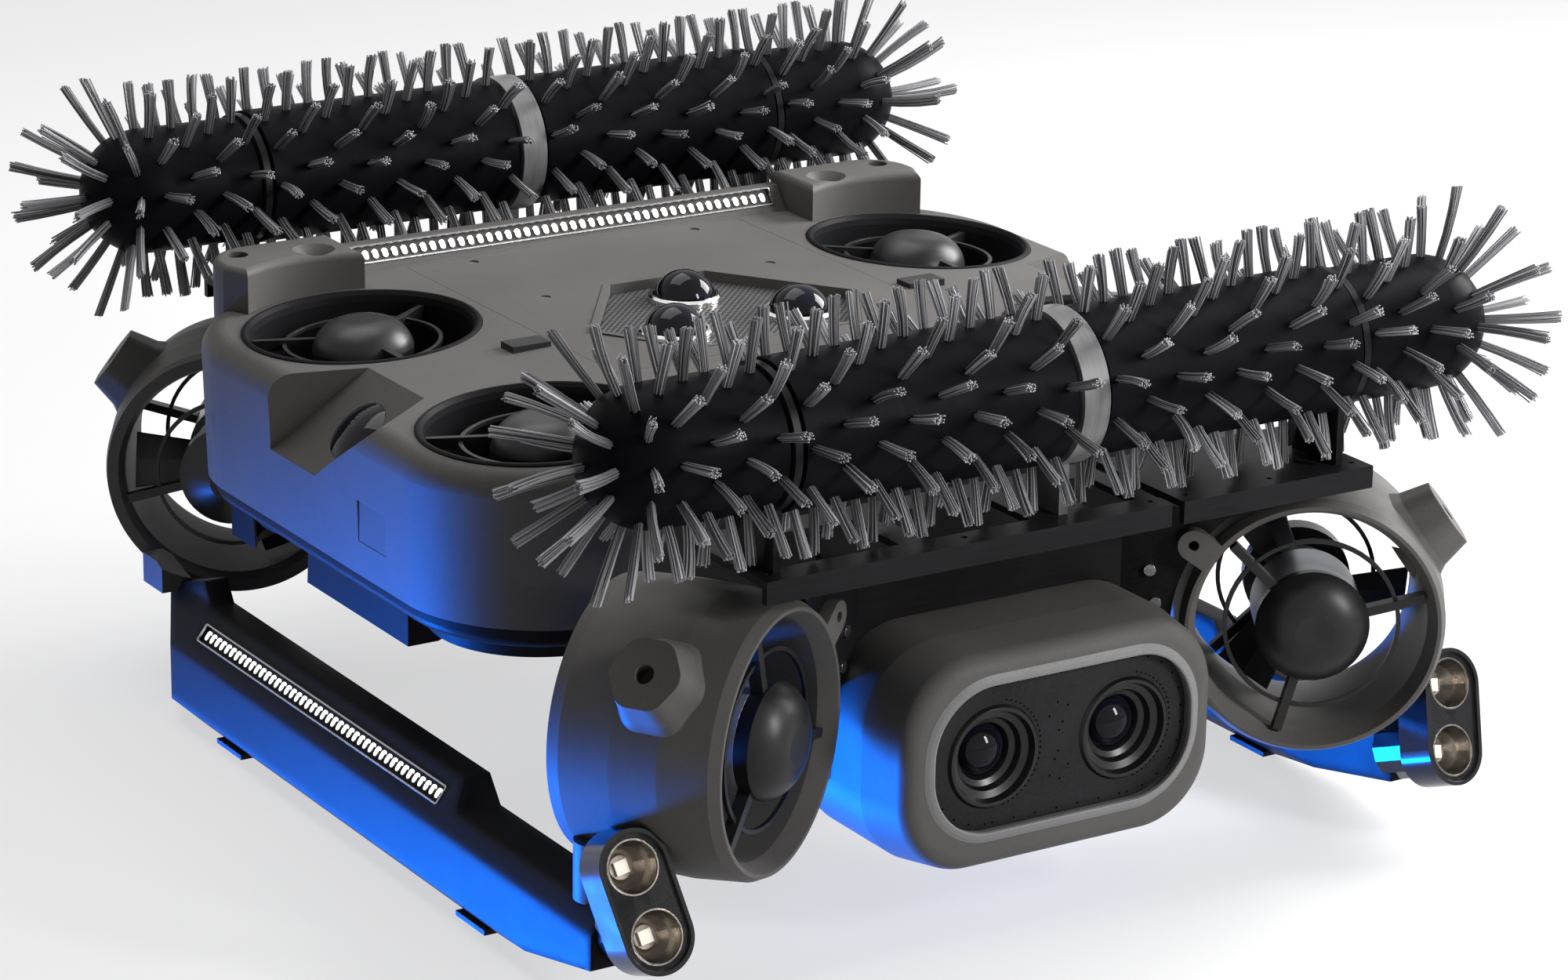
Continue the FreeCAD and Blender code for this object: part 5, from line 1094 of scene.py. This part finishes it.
def light_room(settings):
    """World light: white where it is seen, and the room's even level where it lights."""
    world = bpy.data.worlds.new("studio_room")
    bpy.context.scene.world = world
    world.use_nodes = True
    tree = world.node_tree
    background = tree.nodes["Background"]
    background.inputs["Color"].default_value = (1.0, 1.0, 1.0, 1.0)
    level = tree.nodes.new("ShaderNodeMapRange")
    level.inputs["To Min"].default_value = settings.room_level
    level.inputs["To Max"].default_value = 1.0
    tree.links.new(seen_directly(tree), level.inputs["Value"])
    tree.links.new(level.outputs["Result"], background.inputs["Strength"])


class ROBOT_OT_build_studio(Operator):
    """Lays the pale floor and sets up the lamps, the room light and the camera"""

    bl_idname = "robot.build_studio"
    bl_label = "Build studio"

    def execute(self, context):
        settings = context.scene.robot_studio
        mesh = bpy.data.meshes.new("studio_floor")
        half = FLOOR_HALF
        corners = [(-half, -half, 0.0), (half, -half, 0.0), (half, half, 0.0), (-half, half, 0.0)]
        mesh.from_pydata(corners, [], [(0, 1, 2, 3)])
        mesh.materials.append(pale_floor(settings))
        floor = bpy.data.objects.new("studio_floor", mesh)
        floor.location.z = -FLOOR_DROP
        context.scene.collection.objects.link(floor)
        for lamp in LAMPS:
            add_lamp(settings, *lamp)
        if settings.use_rim:
            rim = add_lamp(settings, *RIM_LAMP)
            rim.data.color = RIM_COLOUR
            rim.data.spread = RIM_SPREAD
            spare_from(rim, [floor, *spared_pieces()])
            let_pass(rim, floor)
        light_room(settings)
        place_camera()
        context.scene.view_settings.view_transform = "Standard"
        return {"FINISHED"}


STEPS = (
    ROBOT_OT_dress_shells,
    ROBOT_OT_dress_frames,
    ROBOT_OT_dress_sensors,
    ROBOT_OT_dress_cameras,
    ROBOT_OT_dress_thrusters,
    ROBOT_OT_make_lights,
    ROBOT_OT_make_brushes,
    ROBOT_OT_build_studio,
)


class ROBOT_PT_pieces(Panel):
    """Lists the robot's operators in the 3D view's sidebar."""

    bl_label = "Hull cleaning robot"
    bl_idname = "ROBOT_PT_pieces"
    bl_space_type = "VIEW_3D"
    bl_region_type = "UI"
    bl_category = "Robot"

    def draw(self, context):
        for step in STEPS:
            self.layout.operator(step.bl_idname)


SETTINGS = (
    ("robot_bristles", BristleSettings),
    ("robot_finish", FinishSettings),
    ("robot_studio", StudioSettings),
)


def register():
    for name, group in SETTINGS:
        bpy.utils.register_class(group)
        setattr(bpy.types.Scene, name, PointerProperty(type=group))
    for made in (*STEPS, ROBOT_PT_pieces):
        bpy.utils.register_class(made)


def unregister():
    for made in reversed((*STEPS, ROBOT_PT_pieces)):
        bpy.utils.unregister_class(made)
    for name, group in reversed(SETTINGS):
        delattr(bpy.types.Scene, name)
        bpy.utils.unregister_class(group)


def main():
    register()
    for step in STEPS:
        family, action = step.bl_idname.split(".")
        getattr(getattr(bpy.ops, family), action)()


if __name__ == "__main__":
    main()
